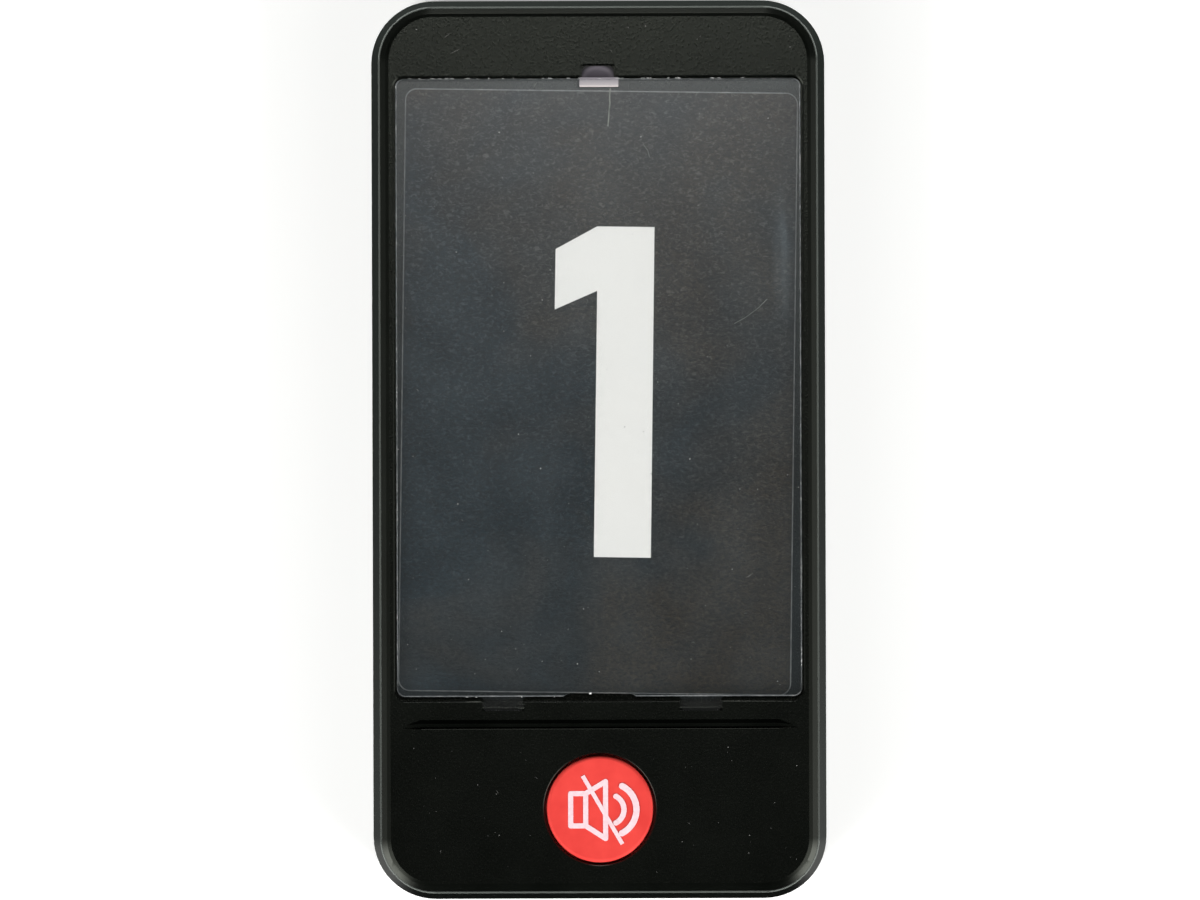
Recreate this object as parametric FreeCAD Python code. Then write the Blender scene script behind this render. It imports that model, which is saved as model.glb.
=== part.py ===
import FreeCAD, Part
import math
import os

# A flat hand-held pager that lies on its back. +X is to its right, +Y to its top end
# and +Z out of its face. The origin is the middle of the back face. Millimetres.

Vector = FreeCAD.Vector

# Thicknesses from the back to the face, which add up to the case's own
floor_thickness = 1.8
tape_thickness = 0.2
battery_thickness = 4.5
battery_headroom = 0.5
board_thickness = 1.0
dome_height = 2.3
dome_gap = 0.05
flange_thickness = 0.8
flange_gap = 0.05
face_thickness = 1.8

# Case
case_width = 54.0
case_length = 107.0
corner_radius = 7.45
parting_height = 6.0
wall_thickness = 1.8
back_inset = 0.6
back_edge_radius = 2.2
back_edge_steps = 3
crease_inset = 0.97
face_inset = 2.0
chamfer_height = 1.0
edge_facet = 0.2
reveal_height = 0.25
reveal_depth = 0.25
tongue_height = 1.0
tongue_thickness = 0.8
joint_clearance = 0.1
overrun = 1.0
prism_sides = 12
wire_sides = 8

# Window recess in the face, its floor pan and the light opening in the pan
bezel_side = 2.77
bezel_top = 9.3
lower_panel_length = 23.74
window_radius = 1.25
window_depth = 1.4
window_edge_facet = 0.12
pan_thickness = 1.0
pan_margin = 2.6
aperture_margin_x = 7.2
aperture_margin_y = 9.0
aperture_radius = 2.0

# Number card
card_thickness = 0.25
card_side_margin = 0.93
card_end_margin = 1.25
card_radius = 1.4
card_shift_x = -0.08
card_shift_y = -0.37
card_turn = -0.85

# Clear cover, its two lower tabs, its thumb lip and its latch foot
cover_thickness = 0.85
cover_lift = 0.05
cover_side_gap = 0.21
cover_top_gap = 0.13
cover_bottom_gap = 0.42
cover_edge_chamfer = 0.15
tab_width = 4.63
tab_pitch = 23.46
tab_shift = 0.3
tab_thickness = 0.35
tab_shoulder = 0.3
tab_corner = 0.3
tab_open_length = 1.14
tab_hidden_length = 0.25
tab_side_clearance = 0.2
tab_back_clearance = 0.15
tab_floor_clearance = 0.05
tab_head_room = 0.3
finger_notch_width = 8.7
finger_notch_depth = 0.53
finger_notch_slope = 1.0
thumb_width = 3.8
thumb_reach = 1.25
thumb_thickness = 0.35
thumb_drop = 0.1
thumb_corner = 0.4
thumb_clearance = 0.2
foot_width = 4.7
foot_length = 1.1
foot_height = 1.25
foot_clearance = 0.15

# Crease across the face below the window
crease_from_window = 2.2
crease_side_margin = 3.35
crease_shoulder = 0.45
crease_step = 0.22
crease_floor = 0.4
crease_groove = 0.12
crease_wall = 0.12
crease_depth = 0.4
crease_taper = 2.4

# Mute button, its guide collar, dome, pill and pads
button_from_end = 10.93
button_hole_radius = 6.6
button_gap = 0.27
button_travel = 0.8
button_edge_round = 0.4
button_edge_steps = 3
button_wall = 1.1
button_top_thickness = 1.0
flange_overlap = 0.9
plunger_radius = 1.6
collar_clearance = 0.3
collar_thickness = 1.0
collar_height = 2.0
key_width = 1.6
key_reach = 0.8
key_clearance = 0.2
hole_edge_facet = 0.15
dome_base_radius = 5.0
dome_base_height = 0.5
dome_ring_width = 1.6
dome_skirt = 0.4
dome_top_radius = 1.5
dome_shoulder_drop = 0.7
pill_radius = 1.4
pill_thickness = 0.3
pill_gap = 0.05
pad_radius = 1.6
pad_thickness = 0.04
pad_split = 0.3
contact_gap = 0.01

# Circuit board and its screws
board_edge_gap = 1.6
board_top_gap = 10.5
board_bottom_gap = 3.4
board_radius = 1.0
board_screw_inset = 3.0
board_screw_from_top = 13.0
board_screw_from_bottom = 17.0
board_screw_radius = 0.9
board_screw_head_radius = 1.7
board_screw_head_height = 1.0
board_screw_reach = 3.0
board_hole_clearance = 0.2
board_notch_gap = 0.5
post_radius = 2.2
thread_clearance = 0.03
hold_down_radius = 1.0
hold_down_gap = 0.1
hold_down_inset_x = 9.5
hold_down_from_top = 2.1
hold_down_from_bottom = 16.6

# Case screws and their bosses
case_screw_from_side = 6.0
case_screw_from_end = 6.1
case_screw_radius = 1.0
case_screw_head_radius = 1.9
case_screw_head_height = 1.3
case_screw_recess = 0.7
case_screw_length = 7.6
counterbore_clearance = 0.2
shank_clearance = 0.15
boss_radius = 2.6
front_boss_radius = 2.4
boss_end_gap = 0.6
gusset_thickness = 1.0
gusset_drop = 1.2
cross_length = 2.2
cross_width = 0.5
cross_depth = 0.7

# Battery, its fence, leads and connector
battery_from_motor = 6.7
battery_from_contacts = 17.0
battery_side_gap = 1.3
battery_edge_round = 1.2
battery_edge_facet = 0.5
tape_margin = 1.2
fence_gap = 0.2
fence_thickness = 0.8
fence_height = 3.0
fence_arm = 7.0
lead_radius = 0.5
lead_start_spread = 3.0
lead_end_spread = 1.0
lead_straight = 2.2
lead_bend_radius = 1.2
connector_room = 7.0
connector_width = 5.0
connector_length = 4.0
connector_height = 3.4
lead_height_in_connector = 2.0

# Vibration motor
motor_from_end = 6.2
motor_start_x = -7.0
motor_can_radius = 3.0
motor_can_length = 11.0
motor_cap_length = 1.0
motor_cap_radius = 2.6
boot_thickness = 0.6
boot_clearance = 0.02
boot_margin = 1.5
boot_floor_gap = 0.05
shaft_radius = 0.5
shaft_reach = 5.5
shaft_seat = 2.0
shaft_clearance = 0.03
weight_radius = 2.7
weight_hub_radius = 1.1
weight_length = 4.0
weight_gap = 0.9
saddle_thickness = 1.2
saddle_inset = 1.0
saddle_width = 9.0
saddle_clearance = 0.05
clamp_rib_width = 3.0
motor_lead_radius = 0.35
motor_lead_spread = 1.2
motor_lead_run = 3.6
motor_lead_lap = 1.0
motor_lead_end_gap = 0.05
motor_lead_bend = 1.5

# Buzzer and the sound holes under it
buzzer_from_side = 14.5
buzzer_y_from_end = 12.0
buzzer_radius = 5.5
buzzer_height = 3.2
buzzer_port_radius = 0.9
buzzer_port_depth = 0.8
sound_ring_radius = 2.3
sound_hole_radius = 0.5
sound_hole_count = 6

# Chips, lamps and antenna on the board
chip_size = 7.0
chip_thickness = 0.9
chip_from_side = 19.0
chip_from_bottom = 28.0
radio_width = 12.0
radio_length = 9.0
radio_base_thickness = 0.5
radio_shield_margin = 0.8
radio_shield_height = 0.9
radio_from_side = 16.0
radio_from_bottom = 23.2
antenna_radius = 0.4
antenna_edge_inset = 1.0
antenna_length = 46.0
antenna_rise = 0.6
antenna_bend = 2.0
lamp_width = 3.5
lamp_length = 2.8
lamp_thickness = 0.8
lamp_pitch_x = 16.0
lamp_pitch_y = 15.0
lamp_rows = 3
lamp_cup_radius = 1.0
lamp_cup_depth = 0.3

# Light panel
panel_flange = 3.0
panel_flange_thickness = 0.8
panel_gap = 0.15
panel_top_gap = 0.05

# Power switch
switch_from_side = 14.5
switch_y_from_end = 12.0
switch_case_width = 8.5
switch_case_length = 3.6
switch_case_height = 2.8
switch_travel = 2.0
knob_width = 3.2
knob_length = 2.2
knob_thickness = 0.6
knob_below_face = 0.2
knob_gap = 0.1
knob_well_margin = 0.3
knob_stem_width = 1.6
knob_stem_length = 1.4
knob_stem_clearance = 0.15
knob_stem_entry = 0.7
knob_groove_count = 3
knob_groove_width = 0.3
knob_groove_depth = 0.2

# Charging contacts and springs
contact_spacing = 16.0
contact_from_end = 23.5
contact_head_radius = 2.0
contact_head_thickness = 0.5
contact_recess = 0.15
contact_stem_radius = 1.0
contact_stem_stand = 0.4
contact_clearance = 0.05
contact_edge_facet = 0.15
spring_thickness = 0.2
spring_width = 1.8
spring_foot = 2.6
spring_lean = 1.6

# Worked out from the sizes above
case_thickness = (floor_thickness + tape_thickness + battery_thickness + battery_headroom
                  + board_thickness + dome_height + dome_gap + flange_thickness + flange_gap
                  + face_thickness)
half_width = case_width / 2
half_length = case_length / 2
ceiling = case_thickness - face_thickness
crease_height = case_thickness - chamfer_height
battery_low = floor_thickness + tape_thickness
board_low = battery_low + battery_thickness + battery_headroom
board_top = board_low + board_thickness

window_width = case_width - 2 * bezel_side
window_length = case_length - bezel_top - lower_panel_length
window_high_y = half_length - bezel_top
window_low_y = window_high_y - window_length
window_y = (window_high_y + window_low_y) / 2
pan_top = case_thickness - window_depth
pan_low = pan_top - pan_thickness
aperture_width = window_width - 2 * aperture_margin_x
aperture_length = window_length - 2 * aperture_margin_y

card_width = window_width - 2 * card_side_margin
card_length = window_length - 2 * card_end_margin
cover_low = pan_top + card_thickness + cover_lift
cover_top = cover_low + cover_thickness
cover_width = window_width - 2 * cover_side_gap
cover_high_y = window_high_y - cover_top_gap
cover_low_y = window_low_y + cover_bottom_gap
cover_y = (cover_high_y + cover_low_y) / 2
cover_length = cover_high_y - cover_low_y
cover_radius = window_radius - cover_side_gap
tab_xs = (tab_shift - tab_pitch / 2, tab_shift + tab_pitch / 2)
lip_y = window_low_y - tab_open_length
tab_tip_y = lip_y - tab_hidden_length
pivot_y = tab_tip_y + tab_thickness / 2
pivot_z = cover_low + tab_thickness / 2
thumb_tip_y = window_high_y + thumb_reach

button_y = -half_length + button_from_end
button_radius = button_hole_radius - button_gap
flange_radius = button_hole_radius + flange_overlap
flange_top = ceiling - flange_gap
flange_low = flange_top - flange_thickness
collar_radius = flange_radius + collar_clearance
pad_top = board_top + pad_thickness
pill_low = pad_top + button_travel + contact_gap
pill_top = pill_low + pill_thickness

board_half_width = half_width - wall_thickness - board_edge_gap
board_high_y = half_length - board_top_gap
board_low_y = -half_length + board_bottom_gap
board_screw_x = board_half_width - board_screw_inset
board_screw_ys = (board_high_y - board_screw_from_top, board_low_y + board_screw_from_bottom)
case_screw_x = half_width - case_screw_from_side
case_screw_y = half_length - case_screw_from_end
case_screw_seat = case_screw_recess + case_screw_head_height
case_screw_points = [(side * case_screw_x, end * case_screw_y) for side in (-1, 1) for end in (-1, 1)]
board_screw_points = [(side * board_screw_x, y) for side in (-1, 1) for y in board_screw_ys]
hold_down_x = board_half_width - hold_down_inset_x
hold_down_ys = (board_high_y - hold_down_from_top, board_low_y + hold_down_from_bottom)

contact_y = -half_length + contact_from_end
motor_y = half_length - motor_from_end
boot_inner_radius = motor_can_radius + boot_clearance
boot_radius = boot_inner_radius + boot_thickness
motor_z = floor_thickness + boot_floor_gap + boot_radius
motor_end_x = motor_start_x + motor_can_length
boot_start_x = motor_start_x + boot_margin
boot_end_x = motor_end_x - boot_margin

battery_width = 2 * (board_screw_x - post_radius - battery_side_gap)
battery_high_y = motor_y - boot_radius - battery_from_motor
battery_low_y = contact_y + battery_from_contacts
battery_length = battery_high_y - battery_low_y
battery_y = (battery_high_y + battery_low_y) / 2
battery_mid_z = battery_low + battery_thickness / 2
connector_high_y = battery_low_y - connector_room

buzzer_x = buzzer_from_side - half_width
buzzer_y = -half_length + buzzer_y_from_end
switch_x = half_width - switch_from_side
switch_y = -half_length + switch_y_from_end
chip_x = chip_from_side - half_width
radio_x = half_width - radio_from_side
knob_top = knob_below_face + knob_thickness
knob_well_depth = knob_top + knob_gap
switch_case_low = board_low - switch_case_height
knob_x = switch_x - switch_travel / 2
contact_stem_top = floor_thickness + contact_stem_stand
contact_xs = (-contact_spacing / 2, contact_spacing / 2)


# Plain shapes

def rounded_outline(width, length, radius, height, centre_x=0, centre_y=0):
    # closed outline of a rectangle with round corners, at one height
    corners = ((1, 1), (-1, 1), (-1, -1), (1, -1))
    arcs = []
    for index, (side_x, side_y) in enumerate(corners):
        middle = Vector(centre_x + side_x * (width / 2 - radius),
                        centre_y + side_y * (length / 2 - radius), height)
        points = []
        for eighth in (0, 1, 2):
            angle = index * math.pi / 2 + eighth * math.pi / 4
            points.append(middle + Vector(math.cos(angle), math.sin(angle), 0) * radius)
        arcs.append(points)
    edges = []
    for index, points in enumerate(arcs):
        edges.append(Part.Arc(*points).toShape())
        following = arcs[(index + 1) % len(arcs)]
        edges.append(Part.LineSegment(points[-1], following[0]).toShape())
    return Part.Wire(edges)


def slab(width, length, radius, low, high, centre_x=0, centre_y=0):
    outline = rounded_outline(width, length, radius, low, centre_x, centre_y)
    return Part.Face(outline).extrude(Vector(0, 0, high - low))


def block(x_low, x_high, y_low, y_high, low, high):
    return Part.makeBox(x_high - x_low, y_high - y_low, high - low, Vector(x_low, y_low, low))


def centred_block(width, length, low, high, centre_x, centre_y):
    return block(centre_x - width / 2, centre_x + width / 2, centre_y - length / 2, centre_y + length / 2,
                 low, high)


def post(x, y, radius, low, high):
    return Part.makeCylinder(radius, high - low, Vector(x, y, low))


def many_sided_outline(x, y, radius, height):
    corners = []
    for index in range(prism_sides):
        angle = index * 2 * math.pi / prism_sides
        corners.append(Vector(x + radius * math.cos(angle), y + radius * math.sin(angle), height))
    return Part.makePolygon(corners + corners[:1])


def prism(x, y, radius, low, high):
    # many-sided stand-in for a round post or hole that is small or out of sight
    return Part.Face(many_sided_outline(x, y, radius, low)).extrude(Vector(0, 0, high - low))


def tapered_prism(x, y, low_radius, low, high_radius, high):
    outlines = [many_sided_outline(x, y, low_radius, low), many_sided_outline(x, y, high_radius, high)]
    return Part.makeLoft(outlines, True, True)


def bar_along_x(x_low, x_high, y, z, radius):
    return Part.makeCylinder(radius, x_high - x_low, Vector(x_low, y, z), Vector(1, 0, 0))


def flat_plate(points, low, high):
    # plate with a straight-sided outline, given as x, y corners
    corners = [Vector(x, y, low) for x, y in points]
    outline = Part.makePolygon(corners + corners[:1])
    return Part.Face(outline).extrude(Vector(0, 0, high - low))


def turned(points, centre_x, centre_y):
    # solid of revolution about an upright axis, from radius, height corners
    corners = [Vector(centre_x + radius, centre_y, height) for radius, height in points]
    outline = Part.makePolygon(corners + corners[:1])
    return Part.Face(outline).revolve(Vector(centre_x, centre_y, 0), Vector(0, 0, 1), 360)


def tube_along(points, radius, bend):
    # wire along straight runs, with each corner cut off where a bend would start and end
    path = [points[0]]
    for before, corner, after in zip(points, points[1:], points[2:]):
        arriving = (corner - before).normalize()
        leaving = (after - corner).normalize()
        setback = bend * math.tan(math.acos(arriving.dot(leaving)) / 2)
        path += [corner - arriving * setback, corner + leaving * setback]
    path.append(points[-1])
    along = points[1] - points[0]
    across = along.cross(Vector(0, 0, 1)).normalize() * radius
    turn = FreeCAD.Rotation(along, 360 / wire_sides)
    corners = [points[0] + across]
    for index in range(wire_sides - 1):
        across = turn.multVec(across)
        corners.append(points[0] + across)
    section = Part.makePolygon(corners + corners[:1])
    return Part.makePolygon(path).makePipeShell([section], True, False, 1)


def edges_at(shape, height):
    # edges that lie flat at one height
    near = edge_facet / 10
    return [edge for edge in shape.Edges
            if abs(edge.BoundBox.ZMin - height) < near and abs(edge.BoundBox.ZMax - height) < near]


def joined(shapes):
    return shapes[0].fuse(shapes[1:]).removeSplitter()


# Case outlines

def case_outline(inset, height):
    return rounded_outline(case_width - 2 * inset, case_length - 2 * inset, corner_radius - inset, height)


def case_taper(low_inset, low, high_inset, high):
    return Part.makeLoft([case_outline(low_inset, low), case_outline(high_inset, high)], True, True)


def back_draft(height):
    # how far the wall stands in from the widest outline, below the parting plane
    return back_inset * (parting_height - height) / parting_height


def front_draft(height):
    # the same above the parting plane
    return crease_inset * (height - parting_height) / (crease_height - parting_height)


def chamfer_inset(height):
    # the same on the 45 degree band between the crease and the face
    return crease_inset + (face_inset - crease_inset) * (height - crease_height) / chamfer_height


def ring_between(outer_inset, inner_inset, low, high):
    outer = case_taper(outer_inset, low, outer_inset, high)
    return outer.cut(case_taper(inner_inset, low - overrun, inner_inset, high + overrun))


# Rear housing

def rear_outside(seam):
    # drafted wall whose back edge is rounded in a few flat steps
    outlines = []
    for step in range(back_edge_steps + 1):
        angle = step * math.pi / 2 / back_edge_steps
        height = back_edge_radius * (1 - math.cos(angle))
        inset = back_draft(height) + back_edge_radius * (1 - math.sin(angle))
        outlines.append(case_outline(inset, height))
    outlines.append(case_outline(back_draft(seam), seam))
    return Part.makeLoft(outlines, True, True)


def rear_shell():
    seam = parting_height - reveal_height
    outer = rear_outside(seam)
    reveal = case_taper(back_draft(seam) + reveal_depth, seam, reveal_depth, parting_height)
    inner = case_taper(wall_thickness + back_draft(floor_thickness), floor_thickness,
                       wall_thickness, parting_height)
    tongue_inset = wall_thickness - tongue_thickness
    tongue = ring_between(tongue_inset, wall_thickness, parting_height, parting_height + tongue_height)
    return outer.fuse(reveal).cut(inner).fuse(tongue)


def rear_bosses():
    shapes = []
    for x, y in case_screw_points:
        side = math.copysign(1, x)
        end = math.copysign(1, y)
        shapes.append(prism(x, y, boss_radius, floor_thickness, parting_height))
        reach_x = side * (half_width - wall_thickness)
        reach_y = end * (half_length - wall_thickness)
        half_gusset = gusset_thickness / 2
        top = parting_height - gusset_drop
        shapes.append(block(min(x, reach_x), max(x, reach_x), y - half_gusset, y + half_gusset,
                            floor_thickness, top))
        shapes.append(block(x - half_gusset, x + half_gusset, min(y, reach_y), max(y, reach_y),
                            floor_thickness, top))
    for x, y in board_screw_points:
        shapes.append(prism(x, y, post_radius, floor_thickness, board_low))
    return shapes


def battery_fence():
    # low ribs that stand round the four corners of the cell
    shapes = []
    inner_x = battery_width / 2 + fence_gap
    inner_y = battery_length / 2 + fence_gap
    top = floor_thickness + fence_height
    for side in (-1, 1):
        for end in (-1, 1):
            x_in, x_out = side * inner_x, side * (inner_x + fence_thickness)
            y_in, y_out = battery_y + end * inner_y, battery_y + end * (inner_y + fence_thickness)
            x_arm = side * (inner_x - fence_arm)
            y_arm = battery_y + end * (inner_y - fence_arm)
            shapes.append(block(min(x_in, x_out), max(x_in, x_out), min(y_arm, y_out), max(y_arm, y_out),
                                floor_thickness, top))
            shapes.append(block(min(x_arm, x_out), max(x_arm, x_out), min(y_in, y_out), max(y_in, y_out),
                                floor_thickness, top))
    return shapes


def saddle_places():
    return (boot_start_x + saddle_inset, boot_end_x - saddle_inset - saddle_thickness)


def motor_saddles():
    # two upright plates with a round seat for the motor's boot
    shapes = []
    for x in saddle_places():
        plate = block(x, x + saddle_thickness, motor_y - saddle_width / 2, motor_y + saddle_width / 2,
                      floor_thickness, motor_z)
        seat = bar_along_x(x - overrun, x + saddle_thickness + overrun, motor_y, motor_z,
                           boot_radius + saddle_clearance)
        shapes.append(plate.cut(seat))
    return shapes


def sound_holes():
    holes = [prism(buzzer_x, buzzer_y, sound_hole_radius, -overrun, floor_thickness + overrun)]
    for index in range(sound_hole_count):
        angle = index * 2 * math.pi / sound_hole_count
        x = buzzer_x + sound_ring_radius * math.cos(angle)
        y = buzzer_y + sound_ring_radius * math.sin(angle)
        holes.append(prism(x, y, sound_hole_radius, -overrun, floor_thickness + overrun))
    return holes


def switch_opening():
    # shallow well for the knob, and the slot its stem slides in
    well = slab(knob_width + switch_travel + 2 * knob_well_margin, knob_length + 2 * knob_well_margin,
                knob_well_margin, -overrun, knob_well_depth, switch_x, switch_y)
    slot = slab(knob_stem_width + switch_travel + 2 * knob_stem_clearance,
                knob_stem_length + 2 * knob_stem_clearance, knob_stem_clearance,
                -overrun, floor_thickness + overrun, switch_x, switch_y)
    return [well, slot]


def contact_seats():
    cuts = []
    head_depth = contact_recess + contact_head_thickness
    for x in contact_xs:
        cuts.append(post(x, contact_y, contact_head_radius + contact_clearance, -overrun, head_depth))
        cuts.append(prism(x, contact_y, contact_stem_radius + contact_clearance, -overrun,
                          floor_thickness + overrun))
    return cuts


def rear_screw_holes():
    cuts = []
    for x, y in case_screw_points:
        cuts.append(post(x, y, case_screw_head_radius + counterbore_clearance, -overrun, case_screw_seat))
        cuts.append(prism(x, y, case_screw_radius + shank_clearance, -overrun, parting_height + overrun))
    for x, y in board_screw_points:
        cuts.append(prism(x, y, board_screw_radius + thread_clearance,
                          board_low - board_screw_reach - boss_end_gap, board_low + overrun))
    return cuts


def rear_housing():
    body = joined([rear_shell()] + rear_bosses() + battery_fence() + motor_saddles())
    return body.cut(rear_screw_holes() + sound_holes() + switch_opening() + contact_seats())


# Front housing

def front_outside():
    # drafted wall and 45 degree band, with a narrow facet along both edges of the band
    below = crease_height - edge_facet
    above = crease_height + edge_facet
    near_face = case_thickness - edge_facet
    outlines = [case_outline(0, parting_height), case_outline(front_draft(below), below),
                case_outline(chamfer_inset(above), above),
                case_outline(chamfer_inset(near_face), near_face),
                case_outline(face_inset + edge_facet, case_thickness)]
    return Part.makeLoft(outlines, True, True)


def front_shell():
    inner = case_taper(wall_thickness, parting_height, wall_thickness + front_draft(ceiling), ceiling)
    groove_inset = wall_thickness - tongue_thickness - joint_clearance
    groove = case_taper(groove_inset, parting_height - overrun, groove_inset,
                        parting_height + tongue_height + joint_clearance)
    return front_outside().cut([inner, groove])


def window_pan():
    # floor of the recess, thick enough to hang below the ceiling, fitted inside the walls
    low_y = window_low_y - pan_margin
    high_y = window_high_y + pan_margin
    pan = block(-half_width, half_width, low_y, high_y, pan_low, ceiling + overrun / 2)
    skin = case_taper(wall_thickness / 2 + front_draft(pan_low), pan_low - overrun,
                      wall_thickness / 2 + front_draft(ceiling), case_thickness)
    return pan.common(skin)


def front_bosses():
    shapes = []
    for x, y in case_screw_points:
        shapes.append(prism(x, y, front_boss_radius, parting_height, ceiling + overrun / 2))
    for side in (-1, 1):
        for y in hold_down_ys:
            shapes.append(prism(side * hold_down_x, y, hold_down_radius, board_top + hold_down_gap,
                                ceiling + overrun / 2))
    x_low, x_high = saddle_places()
    middle_x = (x_low + x_high + saddle_thickness) / 2
    shapes.append(block(middle_x - saddle_thickness / 2, middle_x + saddle_thickness / 2,
                        motor_y - clamp_rib_width / 2, motor_y + clamp_rib_width / 2,
                        motor_z + boot_radius + saddle_clearance, ceiling + overrun / 2))
    return shapes


def button_collar():
    # round guide for the cap's flange, split at both sides for its keys
    low = ceiling - collar_height
    top = ceiling + overrun / 2
    ring = post(0, button_y, collar_radius + collar_thickness, low, top)
    ring = ring.cut(post(0, button_y, collar_radius, low - overrun, top))
    reach = collar_radius + collar_thickness + overrun
    half_slot = key_width / 2 + key_clearance
    return ring.cut(block(-reach, reach, button_y - half_slot, button_y + half_slot, low - overrun, ceiling))


def button_opening():
    # round hole with a small flare at the face
    low = ceiling - overrun / 2
    flare_low = case_thickness - hole_edge_facet
    flare_high = case_thickness + hole_edge_facet
    return turned([(0, low), (button_hole_radius, low), (button_hole_radius, flare_low),
                   (button_hole_radius + 2 * hole_edge_facet, flare_high), (0, flare_high)], 0, button_y)


def window_recess():
    recess = slab(window_width, window_length, window_radius, pan_top, case_thickness + overrun,
                  0, window_y)
    flare_low = case_thickness - window_edge_facet
    flare = Part.makeLoft([rounded_outline(window_width + 2 * grow, window_length + 2 * grow,
                                           window_radius + grow, flare_low + grow, 0, window_y)
                           for grow in (0, 2 * window_edge_facet)], True, True)
    light = slab(aperture_width, aperture_length, aperture_radius, pan_low - overrun,
                 pan_top + overrun, 0, window_y)
    foot_low_y = cover_high_y - foot_length - foot_clearance
    half_foot = foot_width / 2 + foot_clearance
    latch = block(-half_foot, half_foot, foot_low_y, window_high_y, pan_low - overrun, pan_top + overrun)
    return [recess, flare, light, latch]


def tab_pockets():
    # each tab lies in an open notch, and its tip goes under a short lip
    cuts = []
    floor = cover_low - tab_floor_clearance
    half_pocket = tab_width / 2 + tab_side_clearance
    slot_top = cover_low + tab_thickness + tab_head_room
    back_y = tab_tip_y - tab_back_clearance
    for x in tab_xs:
        cuts.append(block(x - half_pocket, x + half_pocket, lip_y, window_low_y + overrun,
                          floor, case_thickness + overrun))
        cuts.append(block(x - half_pocket, x + half_pocket, back_y, lip_y, floor, slot_top))
    return cuts


def thumb_notch():
    floor = cover_top - thumb_drop - thumb_thickness - thumb_clearance
    high_y = thumb_tip_y + thumb_clearance
    length = high_y - window_high_y + window_radius + thumb_corner
    return slab(thumb_width + 2 * thumb_clearance, length, thumb_corner, floor, case_thickness + overrun,
                0, high_y - length / 2)


def crease_cut():
    # trough across the face with a sloped shoulder above, a narrow floor and a fine groove at
    # its steep lower wall, and both its ends run out to a point
    floor_high_y = window_low_y - crease_from_window - crease_shoulder
    floor_low_y = floor_high_y - crease_floor
    deep_y = floor_low_y - crease_groove
    lift = crease_depth
    shoulder_reach = crease_shoulder * (lift + crease_step) / crease_step
    wall_reach = crease_wall * (lift + crease_depth) / crease_depth
    outline = [(floor_high_y + shoulder_reach, lift), (floor_high_y, -crease_step),
               (floor_low_y, -crease_step), (deep_y, -crease_depth), (deep_y - wall_reach, lift)]
    end_x = half_width - crease_side_margin

    def section(x):
        corners = [Vector(x, y, case_thickness + rise) for y, rise in outline]
        return Part.makePolygon(corners + corners[:1])

    straight = end_x - crease_taper
    middle = Part.Face(section(-straight)).extrude(Vector(2 * straight, 0, 0))
    tips = []
    for side in (-1, 1):
        point = Part.Vertex(side * (end_x + crease_taper), deep_y, case_thickness + lift)
        tips.append(Part.makeLoft([section(side * straight), point], True, True))
    return joined([middle] + tips)


def front_screw_holes():
    top = case_screw_seat + case_screw_length + boss_end_gap
    return [prism(x, y, case_screw_radius + thread_clearance, parting_height - overrun, top)
            for x, y in case_screw_points]


def front_housing():
    body = joined([front_shell(), window_pan(), button_collar()] + front_bosses())
    cuts = window_recess() + tab_pockets() + front_screw_holes()
    return body.cut(cuts + [thumb_notch(), crease_cut(), button_opening()])


# Window parts

def number_card():
    x = card_shift_x
    y = window_y + card_shift_y
    card = slab(card_width, card_length, card_radius, pan_top, pan_top + card_thickness, x, y)
    card.rotate(Vector(x, y, 0), Vector(0, 0, 1), card_turn)
    return card


def light_panel():
    # flange glued under the pan, with a raised middle that fills the light opening
    flange = slab(aperture_width + 2 * panel_flange, aperture_length + 2 * panel_flange,
                  aperture_radius + panel_flange, pan_low - panel_flange_thickness, pan_low, 0, window_y)
    island = slab(aperture_width - 2 * panel_gap, aperture_length - 2 * panel_gap,
                  aperture_radius - panel_gap, pan_low, pan_top - panel_top_gap, 0, window_y)
    return joined([flange, island])


def cover_plate():
    plate = slab(cover_width, cover_length, cover_radius, cover_low, cover_top, 0, cover_y)
    plate = plate.makeChamfer(cover_edge_chamfer, edges_at(plate, cover_top))
    half_notch = finger_notch_width / 2
    notch = flat_plate([(-half_notch, cover_low_y - overrun), (-half_notch, cover_low_y),
                        (-half_notch + finger_notch_slope, cover_low_y + finger_notch_depth),
                        (half_notch - finger_notch_slope, cover_low_y + finger_notch_depth),
                        (half_notch, cover_low_y), (half_notch, cover_low_y - overrun)],
                       cover_low - overrun, cover_top + overrun)
    return plate.cut(notch)


def cover_tab(x):
    # thin tongue whose tip is a half-round bead, the cover's pivot
    half = tab_width / 2
    root_y = cover_low_y + cover_bottom_gap
    shoulder_y = cover_low_y - tab_shoulder
    points = [(x - half - tab_shoulder, root_y), (x - half - tab_shoulder, cover_low_y),
              (x - half, shoulder_y), (x - half, pivot_y + tab_corner), (x - half + tab_corner, pivot_y),
              (x + half - tab_corner, pivot_y), (x + half, pivot_y + tab_corner), (x + half, shoulder_y),
              (x + half + tab_shoulder, cover_low_y), (x + half + tab_shoulder, root_y)]
    bead = bar_along_x(x - half + tab_corner, x + half - tab_corner, pivot_y, pivot_z, tab_thickness / 2)
    return flat_plate(points, cover_low, cover_low + tab_thickness).fuse(bead)


def thumb_lip():
    half = thumb_width / 2
    top = cover_top - thumb_drop
    root_y = cover_high_y - foot_length
    points = [(half, root_y), (half, thumb_tip_y - thumb_corner), (half - thumb_corner, thumb_tip_y),
              (thumb_corner - half, thumb_tip_y), (-half, thumb_tip_y - thumb_corner), (-half, root_y)]
    return flat_plate(points, top - thumb_thickness, top)


def clear_cover():
    foot = block(-foot_width / 2, foot_width / 2, cover_high_y - foot_length, cover_high_y,
                 cover_low - foot_height, cover_low + cover_thickness / 2)
    return joined([cover_plate(), thumb_lip(), foot] + [cover_tab(x) for x in tab_xs])


# Button parts

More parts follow.
